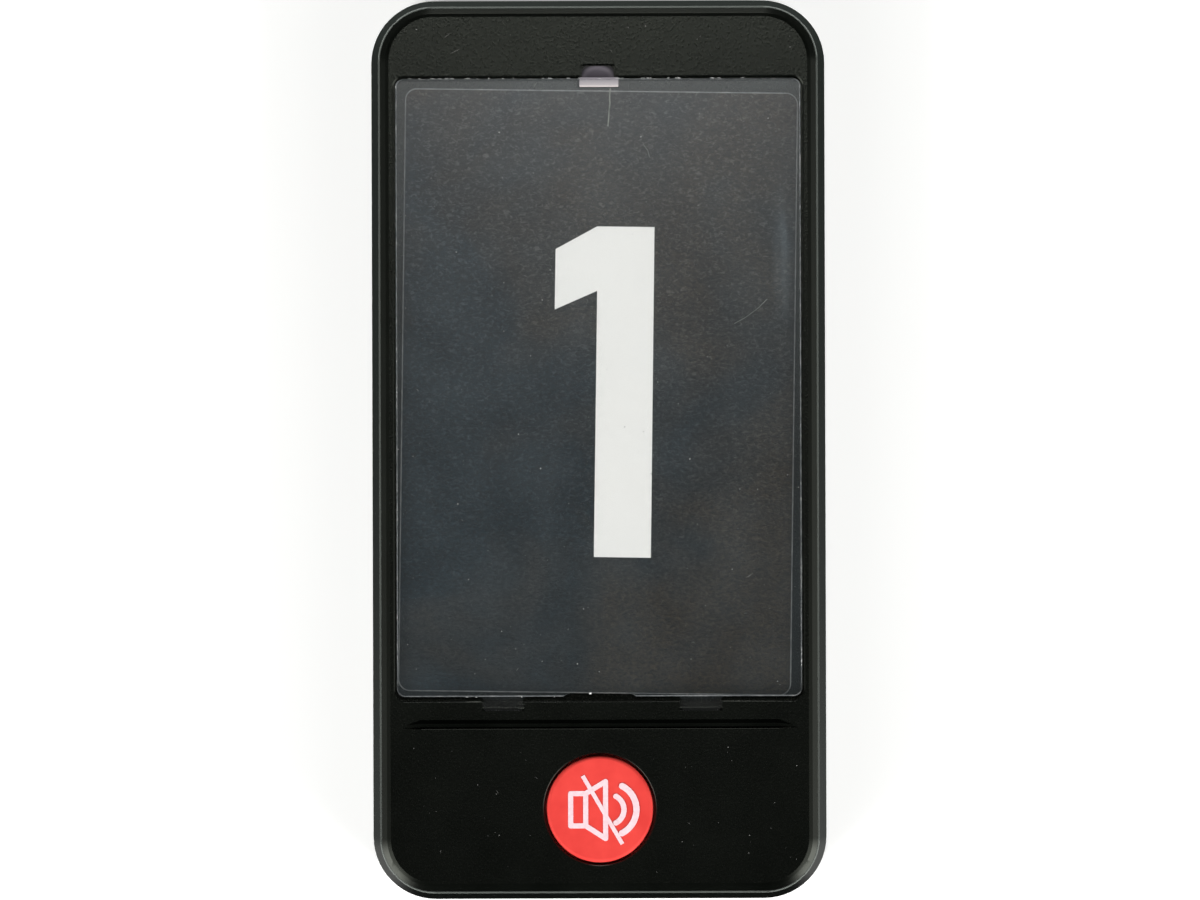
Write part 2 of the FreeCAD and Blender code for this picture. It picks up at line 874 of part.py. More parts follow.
def mute_button():
    # cap with a rounded edge, hollow below, with a middle plunger and a flange under the face
    top = case_thickness
    profile = [(0, flange_low), (button_radius, flange_low)]
    for step in range(button_edge_steps + 1):
        angle = step * math.pi / 2 / button_edge_steps
        profile.append((button_radius - button_edge_round * (1 - math.cos(angle)),
                        top - button_edge_round * (1 - math.sin(angle))))
    cap = turned(profile + [(0, top)], 0, button_y)
    flange = post(0, button_y, flange_radius, flange_low, flange_top)
    reach = collar_radius + key_reach
    keys = block(-reach, reach, button_y - key_width / 2, button_y + key_width / 2, flange_low, flange_top)
    inside = top - button_top_thickness
    hollow = post(0, button_y, button_radius - button_wall, flange_low - overrun, inside)
    plunger = prism(0, button_y, plunger_radius, flange_low, inside + button_edge_round)
    return joined([joined([cap, flange, keys]).cut(hollow), plunger])


def button_dome():
    # low cone with a flat top, on a wide foot and hollow below
    top = board_top + dome_height
    shoulder = top - dome_shoulder_drop
    base = board_top + dome_base_height
    skirt_radius = dome_top_radius + dome_skirt
    ring = dome_base_radius - dome_ring_width
    foot = prism(0, button_y, dome_base_radius, board_top, base)
    skirt = tapered_prism(0, button_y, ring + dome_skirt, base, skirt_radius, shoulder)
    crown = tapered_prism(0, button_y, skirt_radius, shoulder, dome_top_radius, top)
    hollow = tapered_prism(0, button_y, ring, board_top, pill_radius + dome_skirt, pill_top + pill_gap)
    return joined([foot, skirt, crown]).cut(hollow)


def contact_pill():
    return prism(0, button_y, pill_radius, pill_low, pill_top)


def contact_pads():
    pad = prism(0, button_y, pad_radius, board_top, pad_top)
    half_split = pad_split / 2
    reach = pad_radius + overrun
    return pad.cut(block(-half_split, half_split, button_y - reach, button_y + reach,
                         board_top - overrun, pad_top + overrun))


# Circuit board and what is soldered to it

def circuit_board():
    length = board_high_y - board_low_y
    board = slab(2 * board_half_width, length, board_radius, board_low, board_top,
                 0, (board_high_y + board_low_y) / 2)
    cuts = []
    notch_x = case_screw_x - boss_radius - board_notch_gap
    notch_y = -case_screw_y + boss_radius + board_notch_gap
    for side in (-1, 1):
        far = side * (board_half_width + overrun)
        near = side * notch_x
        cuts.append(block(min(near, far), max(near, far), board_low_y - overrun, notch_y,
                          board_low - overrun, board_top + overrun))
    for x, y in board_screw_points:
        cuts.append(prism(x, y, board_screw_radius + board_hole_clearance, board_low - overrun,
                          board_top + overrun))
    return board.cut(cuts)


def microcontroller():
    y = board_low_y + chip_from_bottom
    return centred_block(chip_size, chip_size, board_top, board_top + chip_thickness, chip_x, y)


def radio_module():
    y = board_low_y + radio_from_bottom
    base_top = board_top + radio_base_thickness
    base = centred_block(radio_width, radio_length, board_top, base_top, radio_x, y)
    shield = centred_block(radio_width - 2 * radio_shield_margin, radio_length - 2 * radio_shield_margin,
                           base_top, base_top + radio_shield_height, radio_x, y)
    return joined([base, shield])


def antenna_wire():
    # leaves the radio's edge and lies along the edge of the board
    y = board_low_y + radio_from_bottom
    z = board_top + antenna_radius + antenna_rise
    edge_x = board_half_width - antenna_edge_inset
    start = Vector(radio_x + radio_width / 2, y, z)
    return tube_along([start, Vector(edge_x, y, z), Vector(edge_x, y + antenna_length, z)],
                      antenna_radius, antenna_bend)


def indicator_lamps():
    lamps = []
    for side in (-1, 1):
        for row in range(lamp_rows):
            x = side * lamp_pitch_x / 2
            y = window_y + (row - (lamp_rows - 1) / 2) * lamp_pitch_y
            top = board_top + lamp_thickness
            lamp = centred_block(lamp_width, lamp_length, board_top, top, x, y)
            lamps.append(lamp.cut(prism(x, y, lamp_cup_radius, top - lamp_cup_depth, top + overrun)))
    return Part.makeCompound(lamps)


def buzzer():
    low = board_low - buzzer_height
    can = post(buzzer_x, buzzer_y, buzzer_radius, low, board_low)
    can = can.makeChamfer(edge_facet, edges_at(can, low))
    return can.cut(prism(buzzer_x, buzzer_y, buzzer_port_radius, low - overrun, low + buzzer_port_depth))


# Battery

def battery_cell():
    cell = slab(battery_width, battery_length, battery_edge_round, battery_low,
                battery_low + battery_thickness, 0, battery_y)
    flat_edges = edges_at(cell, battery_low) + edges_at(cell, battery_low + battery_thickness)
    return cell.makeChamfer(battery_edge_facet, flat_edges)


def battery_tape():
    return centred_block(battery_width - 2 * tape_margin, battery_length - 2 * tape_margin,
                         floor_thickness, battery_low, 0, battery_y)


def battery_lead(side):
    entry_z = board_low - lead_height_in_connector
    start_x = side * lead_start_spread
    end_x = side * lead_end_spread
    points = [Vector(start_x, battery_low_y, battery_mid_z),
              Vector(start_x, battery_low_y - lead_straight, battery_mid_z),
              Vector(end_x, connector_high_y + lead_straight, entry_z),
              Vector(end_x, connector_high_y, entry_z)]
    return tube_along(points, lead_radius, lead_bend_radius)


def battery_connector():
    return centred_block(connector_width, connector_length, board_low - connector_height, board_low,
                         0, connector_high_y - connector_length / 2)


# Vibration motor

def motor_can():
    can = bar_along_x(motor_start_x, motor_end_x, motor_y, motor_z, motor_can_radius)
    return can.cut(bar_along_x(motor_end_x - shaft_seat, motor_end_x + overrun, motor_y, motor_z,
                               shaft_radius + shaft_clearance))


def motor_end_cap():
    return bar_along_x(motor_start_x - motor_cap_length, motor_start_x, motor_y, motor_z, motor_cap_radius)


def motor_shaft():
    return bar_along_x(motor_end_x - shaft_seat + shaft_clearance, motor_end_x + shaft_reach,
                       motor_y, motor_z, shaft_radius)


def motor_weight():
    # half disc that hangs below the shaft, with a hub round it
    low_x = motor_end_x + weight_gap
    high_x = low_x + weight_length
    disc = bar_along_x(low_x, high_x, motor_y, motor_z, weight_radius)
    reach = weight_radius + overrun
    disc = disc.cut(block(low_x - overrun, high_x + overrun, motor_y - reach, motor_y + reach,
                          motor_z, motor_z + reach))
    hub = bar_along_x(low_x, high_x, motor_y, motor_z, weight_hub_radius)
    bore = bar_along_x(low_x - overrun, high_x + overrun, motor_y, motor_z, shaft_radius)
    return joined([disc, hub]).cut(bore)


def motor_boot():
    sleeve = bar_along_x(boot_start_x, boot_end_x, motor_y, motor_z, boot_radius)
    return sleeve.cut(bar_along_x(boot_start_x - overrun, boot_end_x + overrun, motor_y, motor_z,
                                  boot_inner_radius))


def motor_leads():
    leads = []
    start_x = motor_start_x - motor_cap_length
    for index in (-1, 1):
        y = motor_y + index * motor_lead_spread / 2
        turn_x = start_x - motor_lead_run - index * motor_lead_spread / 2
        end_y = board_high_y - motor_lead_lap
        end_z = board_low - motor_lead_radius - motor_lead_end_gap
        points = [Vector(start_x, y, motor_z), Vector(turn_x, y, motor_z), Vector(turn_x, end_y, end_z)]
        leads.append(tube_along(points, motor_lead_radius, motor_lead_bend))
    return Part.makeCompound(leads)


# Power switch

def switch_case():
    case = centred_block(switch_case_width, switch_case_length, switch_case_low, board_low,
                         switch_x, switch_y)
    slot = slab(knob_stem_width + switch_travel + 2 * knob_stem_clearance,
                knob_stem_length + 2 * knob_stem_clearance, knob_stem_clearance,
                switch_case_low - overrun, switch_case_low + knob_stem_entry + knob_gap, switch_x, switch_y)
    return case.cut(slot)


def switch_knob():
    plate = slab(knob_width, knob_length, knob_well_margin, knob_below_face, knob_top, knob_x, switch_y)
    stem = block(knob_x - knob_stem_width / 2, knob_x + knob_stem_width / 2,
                 switch_y - knob_stem_length / 2, switch_y + knob_stem_length / 2,
                 knob_top - knob_groove_depth, switch_case_low + knob_stem_entry)
    grooves = []
    for index in range(knob_groove_count):
        x = knob_x + (index - (knob_groove_count - 1) / 2) * 2 * knob_groove_width
        grooves.append(block(x - knob_groove_width / 2, x + knob_groove_width / 2,
                             switch_y - knob_length, switch_y + knob_length,
                             knob_below_face - overrun, knob_below_face + knob_groove_depth))
    return joined([plate, stem]).cut(grooves)


# Charging contacts

def charging_contact(x):
    head_top = contact_recess + contact_head_thickness
    head = post(x, contact_y, contact_head_radius, contact_recess, head_top)
    head = head.makeChamfer(contact_edge_facet, edges_at(head, contact_recess))
    return joined([head, prism(x, contact_y, contact_stem_radius, head_top, contact_stem_top)])


def charging_springs():
    # flat strip with a foot on the board and a lower arm on the contact's stem
    springs = []
    for x in contact_xs:
        foot_high = board_low
        foot_low = foot_high - spring_thickness
        arm_low = contact_stem_top
        arm_high = arm_low + spring_thickness
        near = contact_y - spring_foot / 2
        far = contact_y + spring_foot / 2 + spring_lean
        outline = [(near, arm_low), (far + spring_thickness, arm_low),
                   (far + spring_thickness, foot_high), (near, foot_high), (near, foot_low),
                   (far, foot_low), (far, arm_high), (near, arm_high)]
        corners = [Vector(x - spring_width / 2, y, z) for y, z in outline]
        face = Part.Face(Part.makePolygon(corners + corners[:1]))
        springs.append(face.extrude(Vector(spring_width, 0, 0)))
    return Part.makeCompound(springs)


# Screws

def cross_recess(x, y, low, high):
    half_length = cross_length / 2
    half_width = cross_width / 2
    return [block(x - half_length, x + half_length, y - half_width, y + half_width, low, high),
            block(x - half_width, x + half_width, y - half_length, y + half_length, low, high)]


def case_screws():
    screws = []
    for x, y in case_screw_points:
        head = post(x, y, case_screw_head_radius, case_screw_recess, case_screw_seat)
        shank = prism(x, y, case_screw_radius, case_screw_seat, case_screw_seat + case_screw_length)
        cross = cross_recess(x, y, case_screw_recess - overrun, case_screw_recess + cross_depth)
        screws.append(joined([head, shank]).cut(cross))
    return Part.makeCompound(screws)


def board_screws():
    screws = []
    for x, y in board_screw_points:
        top = board_top + board_screw_head_height
        head = prism(x, y, board_screw_head_radius, board_top, top)
        shank = prism(x, y, board_screw_radius, board_low - board_screw_reach, board_top)
        cross = cross_recess(x, y, top - cross_depth, top + overrun)
        screws.append(joined([head, shank]).cut(cross))
    return Part.makeCompound(screws)


# Every piece under its own name

pieces = {
    "front_housing": front_housing,
    "rear_housing": rear_housing,
    "clear_cover": clear_cover,
    "number_card": number_card,
    "light_panel": light_panel,
    "mute_button": mute_button,
    "button_dome": button_dome,
    "contact_pill": contact_pill,
    "contact_pads": contact_pads,
    "circuit_board": circuit_board,
    "microcontroller": microcontroller,
    "radio_module": radio_module,
    "antenna_wire": antenna_wire,
    "indicator_lamps": indicator_lamps,
    "buzzer": buzzer,
    "battery_cell": battery_cell,
    "battery_tape": battery_tape,
    "battery_lead_red": lambda: battery_lead(-1),
    "battery_lead_black": lambda: battery_lead(1),
    "battery_connector": battery_connector,
    "motor_can": motor_can,
    "motor_end_cap": motor_end_cap,
    "motor_shaft": motor_shaft,
    "motor_weight": motor_weight,
    "motor_boot": motor_boot,
    "motor_leads": motor_leads,
    "switch_case": switch_case,
    "switch_knob": switch_knob,
    "charging_contact_left": lambda: charging_contact(contact_xs[0]),
    "charging_contact_right": lambda: charging_contact(contact_xs[1]),
    "charging_springs": charging_springs,
    "case_screws": case_screws,
    "board_screws": board_screws,
}

os.makedirs("parts", exist_ok=True)
for name, make in pieces.items():
    shape = make()
    shape.exportStep(f"parts/{name}.step")
    print(name, "solids", len(shape.Solids), "valid", shape.isValid(), "volume", round(shape.Volume, 2))
print("case", case_width, "x", case_length, "x", round(case_thickness, 3))
print("cover tabs turn about y", round(pivot_y, 4), "z", round(pivot_z, 4))
print("motor axis y", round(motor_y, 3), "z", round(motor_z, 3), "window y", round(window_y, 3))
print("window from y", round(window_low_y, 3), "to", round(window_high_y, 3), "contacts y", contact_y)
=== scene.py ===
import math
import random

import bmesh
import bpy
from mathutils import Matrix, Vector


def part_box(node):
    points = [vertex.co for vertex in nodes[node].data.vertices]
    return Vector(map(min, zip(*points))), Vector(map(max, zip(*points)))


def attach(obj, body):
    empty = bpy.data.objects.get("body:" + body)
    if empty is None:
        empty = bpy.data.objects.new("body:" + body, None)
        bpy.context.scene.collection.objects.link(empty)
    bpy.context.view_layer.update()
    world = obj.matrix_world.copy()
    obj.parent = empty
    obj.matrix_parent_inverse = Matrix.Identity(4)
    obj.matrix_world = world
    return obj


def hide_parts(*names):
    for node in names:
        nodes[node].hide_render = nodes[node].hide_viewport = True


# A guest pager: black case, dark numbered card under a clear cover, one red mute button.
# Lengths are metres, written as so many mm.
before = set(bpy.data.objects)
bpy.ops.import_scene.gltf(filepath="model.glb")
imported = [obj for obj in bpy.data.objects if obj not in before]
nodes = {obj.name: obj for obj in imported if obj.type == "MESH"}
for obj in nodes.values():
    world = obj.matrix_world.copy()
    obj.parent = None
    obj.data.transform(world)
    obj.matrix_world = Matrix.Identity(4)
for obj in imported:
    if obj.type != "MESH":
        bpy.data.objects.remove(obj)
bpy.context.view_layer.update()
mm = 0.001
hair = 0.01 * mm  # edges and faces this near a height count as lying on it


# Shared helpers for meshes

def cornersOf(nodeName):
    return tuple(Vector(corner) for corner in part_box(nodeName))


def middleOf(nodeName):
    low, high = cornersOf(nodeName)
    return (low + high) / 2


def middleOfEdge(edge):
    return (edge.verts[0].co + edge.verts[1].co) / 2


def copyOfNode(nodeName):
    bm = bmesh.new()
    bm.from_mesh(nodes[nodeName].data)
    bmesh.ops.remove_doubles(bm, verts=bm.verts, dist=0.0005 * mm)
    bmesh.ops.dissolve_limit(bm, angle_limit=math.radians(0.3), use_dissolve_boundaries=False,
                             verts=bm.verts, edges=bm.edges)
    return bm


def bevelEdges(bm, edges, width, segments):
    bmesh.ops.bevel(bm, geom=edges, offset=width, offset_type="OFFSET", affect="EDGES",
                    segments=segments, profile=0.5, material=-1, clamp_overlap=True)


def sharpEdges(bm, angle, where):
    found = []
    for edge in bm.edges:
        if len(edge.link_faces) == 2 and edge.calc_face_angle(0) > math.radians(angle) and where(edge):
            found.append(edge)
    return found


def makePiece(name, bm, body, materials, replaced=(), sharpAngle=32, flip=True):
    if flip:
        bmesh.ops.recalc_face_normals(bm, faces=bm.faces)
    mesh = bpy.data.meshes.new(name)
    bm.to_mesh(mesh)
    bm.free()
    mesh.polygons.foreach_set("use_smooth", [True] * len(mesh.polygons))
    mesh.set_sharp_from_angle(angle=math.radians(sharpAngle))
    for material in materials:
        mesh.materials.append(material)
    piece = bpy.data.objects.new(name, mesh)
    bpy.context.scene.collection.objects.link(piece)
    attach(piece, body)
    if replaced:
        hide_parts(*replaced)
    return piece


def flatBar(bm, start, end, width, height):
    # a thin bar between two points at one height
    along = end - start
    turn = Matrix.Rotation(math.atan2(along.y, along.x), 4, "Z")
    size = Matrix.Diagonal((along.length, width, height, 1))
    place = Matrix.Translation((start + end) / 2)
    return bmesh.ops.create_cube(bm, size=1, matrix=place @ turn @ size)["verts"]


def flatGrain(bm, at, length, width, angle, height):
    # a five-sided chip that narrows upwards
    size = Matrix.Diagonal((length, width, 1, 1))
    bmesh.ops.create_cone(bm, cap_ends=True, segments=5, radius1=0.5, radius2=0.35, depth=height,
                          matrix=Matrix.Translation(at) @ Matrix.Rotation(angle, 4, "Z") @ size)


def evenShading(piece):
    weighted = piece.modifiers.new("evenShading", "WEIGHTED_NORMAL")
    weighted.keep_sharp = True
    weighted.weight = 80


# Shared helpers for materials

def newMaterial(name, sockets):
    material = bpy.data.materials.new(name)
    material.use_nodes = True
    shader = material.node_tree.nodes["Principled BSDF"]
    for socketName, value in sockets.items():
        shader.inputs[socketName].default_value = value
    return material, material.node_tree, shader


def addNode(tree, kind, settings=(), **sockets):
    node = tree.nodes.new(kind)
    for key, value in dict(settings).items():
        setattr(node, key, value)
    for key, value in sockets.items():
        socket = node.inputs[key.replace("_", " ")]
        if isinstance(value, bpy.types.NodeSocket):
            tree.links.new(value, socket)
        else:
            socket.default_value = value
    return node


def objectPoints(tree, scale=(1000, 1000, 1000), turn=0):
    # millimetres of the object, so that noise scales read as features per mm
    coords = addNode(tree, "ShaderNodeTexCoord")
    mapping = addNode(tree, "ShaderNodeMapping", Vector=coords.outputs["Object"], Scale=scale,
                      Rotation=(0, 0, turn))
    return mapping.outputs["Vector"]


def noiseOf(tree, points, scale, detail=3, roughness=0.5, distortion=0):
    noise = addNode(tree, "ShaderNodeTexNoise", Vector=points, Scale=scale, Detail=detail,
                    Roughness=roughness, Distortion=distortion)
    return noise.outputs["Fac"]


def rampOf(tree, value, stops):
    ramp = addNode(tree, "ShaderNodeValToRGB", Fac=value)
    elements = ramp.color_ramp.elements
    while len(elements) < len(stops):
        elements.new(0.5)
    for element, (position, colour) in zip(elements, stops):
        element.position = position
        element.color = (*colour, 1)
    return ramp.outputs["Color"]


def rangeOf(tree, value, low, high, newLow, newHigh):
    mapped = addNode(tree, "ShaderNodeMapRange", Value=value, From_Min=low, From_Max=high,
                     To_Min=newLow, To_Max=newHigh)
    return mapped.outputs["Result"]


def bumpOf(tree, shader, height, strength, distance):
    bump = addNode(tree, "ShaderNodeBump", Height=height, Strength=strength, Distance=distance)
    tree.links.new(bump.outputs["Normal"], shader.inputs["Normal"])
    return bump


def scaledTone(tree, colour, factor):
    scaled = addNode(tree, "ShaderNodeVectorMath", {"operation": "SCALE"}, Scale=factor)
    tree.links.new(colour, scaled.inputs[0])
    return scaled.outputs["Vector"]


def joinedTones(tree, operation, first, second):
    joined = addNode(tree, "ShaderNodeVectorMath", {"operation": operation})
    tree.links.new(first, joined.inputs[0])
    tree.links.new(second, joined.inputs[1])
    return joined.outputs["Vector"]


def mathOf(tree, operation, first, second=0):
    node = addNode(tree, "ShaderNodeMath", {"operation": operation})
    for socket, value in zip(node.inputs, (first, second)):
        if isinstance(value, bpy.types.NodeSocket):
            tree.links.new(value, socket)
        else:
            socket.default_value = value
    return node.outputs["Value"]


def twoTones(name, sockets, stops, perMm, detail=3, roughness=0.5, relief=None):
    # two tones in noise; relief gives the strength and depth of the same noise as bump
    material, tree, shader = newMaterial(name, sockets)
    noise = noiseOf(tree, objectPoints(tree), perMm, detail, roughness)
    tree.links.new(rampOf(tree, noise, stops), shader.inputs["Base Color"])
    if relief:
        bumpOf(tree, shader, noise, *relief)
    return material


# Materials

caseLook = {
    "dark": (0.0012, 0.0015, 0.0012),
    "light": (0.0026, 0.0031, 0.0025),
    "cloudPerMm": 0.12,
    "faceRough": (0.21, 0.28),
    "grooveRough": (0.10, 0.14),
    # the crease's slopes and the window's sill are painted this much darker: painted shade
    "grooveShadeTone": 0.3,
    "grainPerMm": 3.4,
    "grainDepth": 0.017 * mm,
    "grainFrom": 0.97,  # upright part of a face's direction above which it has the grain
    "sheen": (0.94, 1.0, 0.86, 1),
}


def casePlastic(name, roughLow, roughHigh, tone=1.0):
    material, tree, shader = newMaterial(name, {"IOR": 1.49, "Specular IOR Level": 0.5,
                                                "Specular Tint": caseLook["sheen"]})
    points = objectPoints(tree)
    broad = noiseOf(tree, points, caseLook["cloudPerMm"], 4, 0.6)
    fine = noiseOf(tree, points, caseLook["grainPerMm"], 4, 0.62)
    colour = rampOf(tree, broad, [(0.32, caseLook["dark"]), (0.72, caseLook["light"])])
    tree.links.new(scaledTone(tree, colour, tone), shader.inputs["Base Color"])
    # the grain is on the broad faces, and the narrow bands round them are smooth
    coords = addNode(tree, "ShaderNodeTexCoord")
    facing = addNode(tree, "ShaderNodeSeparateXYZ", Vector=coords.outputs["Normal"]).outputs["Z"]
    flat = rangeOf(tree, mathOf(tree, "ABSOLUTE", facing), caseLook["grainFrom"], 1, 0, 1)
    grain = mathOf(tree, "MULTIPLY", fine, flat)
    rough = rangeOf(tree, grain, 0.0, 0.65, roughLow, roughHigh)
    tree.links.new(rough, shader.inputs["Roughness"])
    bumpOf(tree, shader, grain, 1.0, caseLook["grainDepth"])
    return material


cardLook = {
    "slate": (0.0006, 0.0060, 0.0100),
    "umber": (0.0175, 0.0115, 0.0055),
    "warmSide": 0.0045,  # how fast the clouds turn warm per mm to the right
    "warmEnds": 0.00009,  # and how fast per square mm away from the middle
    "middleY": 6,
    "cloudPerMm": 0.055,
    "toneStops": (0.42, 0.70),
    "grainPerMm": 1.7,
    "grainSlant": 25,  # degrees
    "grainStretch": (1000, 1600, 1000),
    "grainHeights": (0.45, 0.90),
    "grainDepth": 0.17 * mm,
    "grainTone": (0.20, 1.8),
    "ridge": (0.52, 0.68),
    "ridgeHighlightTone": (0.003, 0.060),  # painted highlight on the grain's ridges, rising from the foot to the head of the card
    "ridgeHighlightReach": (-29, 44),
}


def cardPrint():
    # a dark laminated print with a fine hide-like grain and cool and warm clouds, and a painted highlight on
    # its ridges that grows towards the head
    material, tree, shader = newMaterial("cardPrint", {"Roughness": 0.30, "Specular IOR Level": 0.45})
    points = objectPoints(tree)
    clouds = noiseOf(tree, points, cardLook["cloudPerMm"], 3, 0.55, 0.6)
    place = addNode(tree, "ShaderNodeSeparateXYZ", Vector=points)
    across = place.outputs["X"]
    along = mathOf(tree, "SUBTRACT", place.outputs["Y"], cardLook["middleY"])
    ends = mathOf(tree, "MULTIPLY", mathOf(tree, "MULTIPLY", along, along), cardLook["warmEnds"])
    warmth = mathOf(tree, "ADD", clouds, mathOf(tree, "MULTIPLY", across, cardLook["warmSide"]))
    warmth = mathOf(tree, "ADD", warmth, ends)
    coolUpTo, warmFrom = cardLook["toneStops"]
    tone = rampOf(tree, warmth, [(coolUpTo, cardLook["slate"]), (warmFrom, cardLook["umber"])])
    slanted = objectPoints(tree, cardLook["grainStretch"], math.radians(cardLook["grainSlant"]))
    wrinkle = noiseOf(tree, slanted, cardLook["grainPerMm"], 5, 0.62, 0.9)
    cells = addNode(tree, "ShaderNodeTexVoronoi", {"feature": "SMOOTH_F1"}, Vector=slanted,
                    Scale=cardLook["grainPerMm"] * 1.3, Smoothness=0.5)
    height = mathOf(tree, "ADD", mathOf(tree, "MULTIPLY", cells.outputs["Distance"], 0.35), wrinkle)
    grain = rangeOf(tree, height, *cardLook["grainHeights"], *cardLook["grainTone"])
    # the paler ridges towards the head are a painted highlight
    paintedRidgeHighlight = mathOf(tree, "MULTIPLY", rangeOf(tree, wrinkle, *cardLook["ridge"], 0, 1),
                  rangeOf(tree, place.outputs["Y"], *cardLook["ridgeHighlightReach"], *cardLook["ridgeHighlightTone"]))
    paler = joinedTones(tree, "ADD", scaledTone(tree, tone, grain), paintedRidgeHighlight)
    tree.links.new(paler, shader.inputs["Base Color"])
    bumpOf(tree, shader, height, 1.0, cardLook["grainDepth"])
    return material


def cardRim():
    return twoTones("cardRim", {"Roughness": 0.35},
                    [(0.3, (0.12, 0.125, 0.125)), (0.7, (0.24, 0.24, 0.235))], 0.8)


def numeralPaint():
    return twoTones("numeralPaint", {"Roughness": 0.5, "Specular IOR Level": 0.35},
                    [(0.3, (0.93, 0.91, 0.88)), (0.7, (0.96, 0.94, 0.91))], 1.2, 4, 0.6,
                    relief=(0.5, 0.01 * mm))


coverLook = {
    "index": 1.49,
    "roughness": 0.235,
    "mirror": 0.065,  # share of light that each face turns back, seen straight on
    "tint": (0.98, 0.985, 0.985, 1),
    # the rim's painted highlight, from dim at the foot to full a few mm above it
    "rimHighlightReach": (-29.1, -25.0),
    "rimHighlightTones": (0.34, 1.35),
    "rimShare": 0.85,
    "haze": (0.72, 0.90, 1.0, 1),
    "hazePerMm": 0.11,
    "hazeShare": (0.006, 0.014),
    "hazeFoot": (-29.7, -29.2),
    "smearAt": (21.9, 23.0),
    "smearHalf": (1.5, 9.0),
    "smearStretch": (1000, 120, 1000),
    "smearShare": 0.05,
}


def clearOver(tree, shader, share):
    # a thin clear wall: what lies under it shows unbent, and the surface adds its gloss
    passing = addNode(tree, "ShaderNodeBsdfTransparent", Color=coverLook["tint"])
    mixed = addNode(tree, "ShaderNodeMixShader", Fac=share)
    tree.links.new(passing.outputs["BSDF"], mixed.inputs[1])
    tree.links.new(shader.outputs["BSDF"], mixed.inputs[2])
    tree.links.new(mixed.outputs["Shader"], tree.nodes["Material Output"].inputs["Surface"])
    return mixed.outputs["Shader"]


def coverClear():
    material, tree, shader = newMaterial("coverClear", {
        "Base Color": (0.9, 0.9, 0.9, 1),
        "Metallic": 1.0,
        "Roughness": coverLook["roughness"],
    })
    facing = addNode(tree, "ShaderNodeLayerWeight", Blend=0.5).outputs["Facing"]
    grazing = mathOf(tree, "POWER", facing, 5)
    share = rangeOf(tree, grazing, 0, 1, coverLook["mirror"], 1)
    clear = clearOver(tree, shader, share)
    # the plate is faintly hazed, with one denser smear along its right edge
    points = objectPoints(tree)
    cloud = noiseOf(tree, points, coverLook["hazePerMm"], 5, 0.6)
    place = addNode(tree, "ShaderNodeSeparateXYZ", Vector=points)
    film = mathOf(tree, "MULTIPLY", rangeOf(tree, cloud, 0.35, 0.70, *coverLook["hazeShare"]),
                  rangeOf(tree, place.outputs["Y"], *coverLook["hazeFoot"], 0.15, 1))
    streaks = noiseOf(tree, objectPoints(tree, coverLook["smearStretch"]), 1.1, 4, 0.6)
    smear = rangeOf(tree, streaks, 0.35, 0.7, 0, coverLook["smearShare"])
    for axis, centre, half in zip("XY", coverLook["smearAt"], coverLook["smearHalf"]):
        off = mathOf(tree, "ABSOLUTE", mathOf(tree, "SUBTRACT", place.outputs[axis], centre))
        smear = mathOf(tree, "MULTIPLY", smear, rangeOf(tree, off, 0, half, 1, 0))
    film = mathOf(tree, "ADD", film, smear)
    dust = addNode(tree, "ShaderNodeBsdfDiffuse", Color=coverLook["haze"])
    dusty = addNode(tree, "ShaderNodeMixShader", Fac=film)
    tree.links.new(clear, dusty.inputs[1])
    tree.links.new(dust.outputs["BSDF"], dusty.inputs[2])
    tree.links.new(dusty.outputs["Shader"], tree.nodes["Material Output"].inputs["Surface"])
    return material


def coverRim():
    # cut edges scatter light, so they read as fine pale lines: a painted highlight, dim along the plate's
    # foot and full above it
    material, tree, shader = newMaterial("coverRim", {"Roughness": 0.4, "IOR": coverLook["index"]})
    points = objectPoints(tree)
    chips = noiseOf(tree, points, 0.9, 4, 0.7)
    colour = rampOf(tree, chips, [(0.35, (0.22, 0.24, 0.25)), (0.54, (0.38, 0.40, 0.41)),
                                  (0.70, (0.74, 0.74, 0.73))])
    # the rim's paleness is a painted highlight, weak along the foot and full higher up
    away = addNode(tree, "ShaderNodeSeparateXYZ", Vector=points).outputs["Y"]
    paintedRimHighlight = rangeOf(tree, away, *coverLook["rimHighlightReach"], *coverLook["rimHighlightTones"])
    tree.links.new(scaledTone(tree, colour, paintedRimHighlight), shader.inputs["Base Color"])
    clearOver(tree, shader, coverLook["rimShare"])
    return material


def latchMilky():
    # a milky block, palest at its lower edge
    material, tree, shader = newMaterial("latchMilky", {"Roughness": 0.45})
    points = objectPoints(tree)
    split = addNode(tree, "ShaderNodeSeparateXYZ", Vector=points)
    low, high = latchBlock["lowY"] / mm, latchBlock["highY"] / mm
    height = rangeOf(tree, split.outputs["Y"], low, high, 0, 1)
    colour = rampOf(tree, height, [(0.0, (0.68, 0.61, 0.58)), (0.22, (0.44, 0.40, 0.41)),
                                   (1.0, (0.26, 0.24, 0.27))])
    tree.links.new(colour, shader.inputs["Base Color"])
    cloud = noiseOf(tree, points, 1.5, 2)
    bumpOf(tree, shader, cloud, 0.3, 0.02 * mm)
    return material


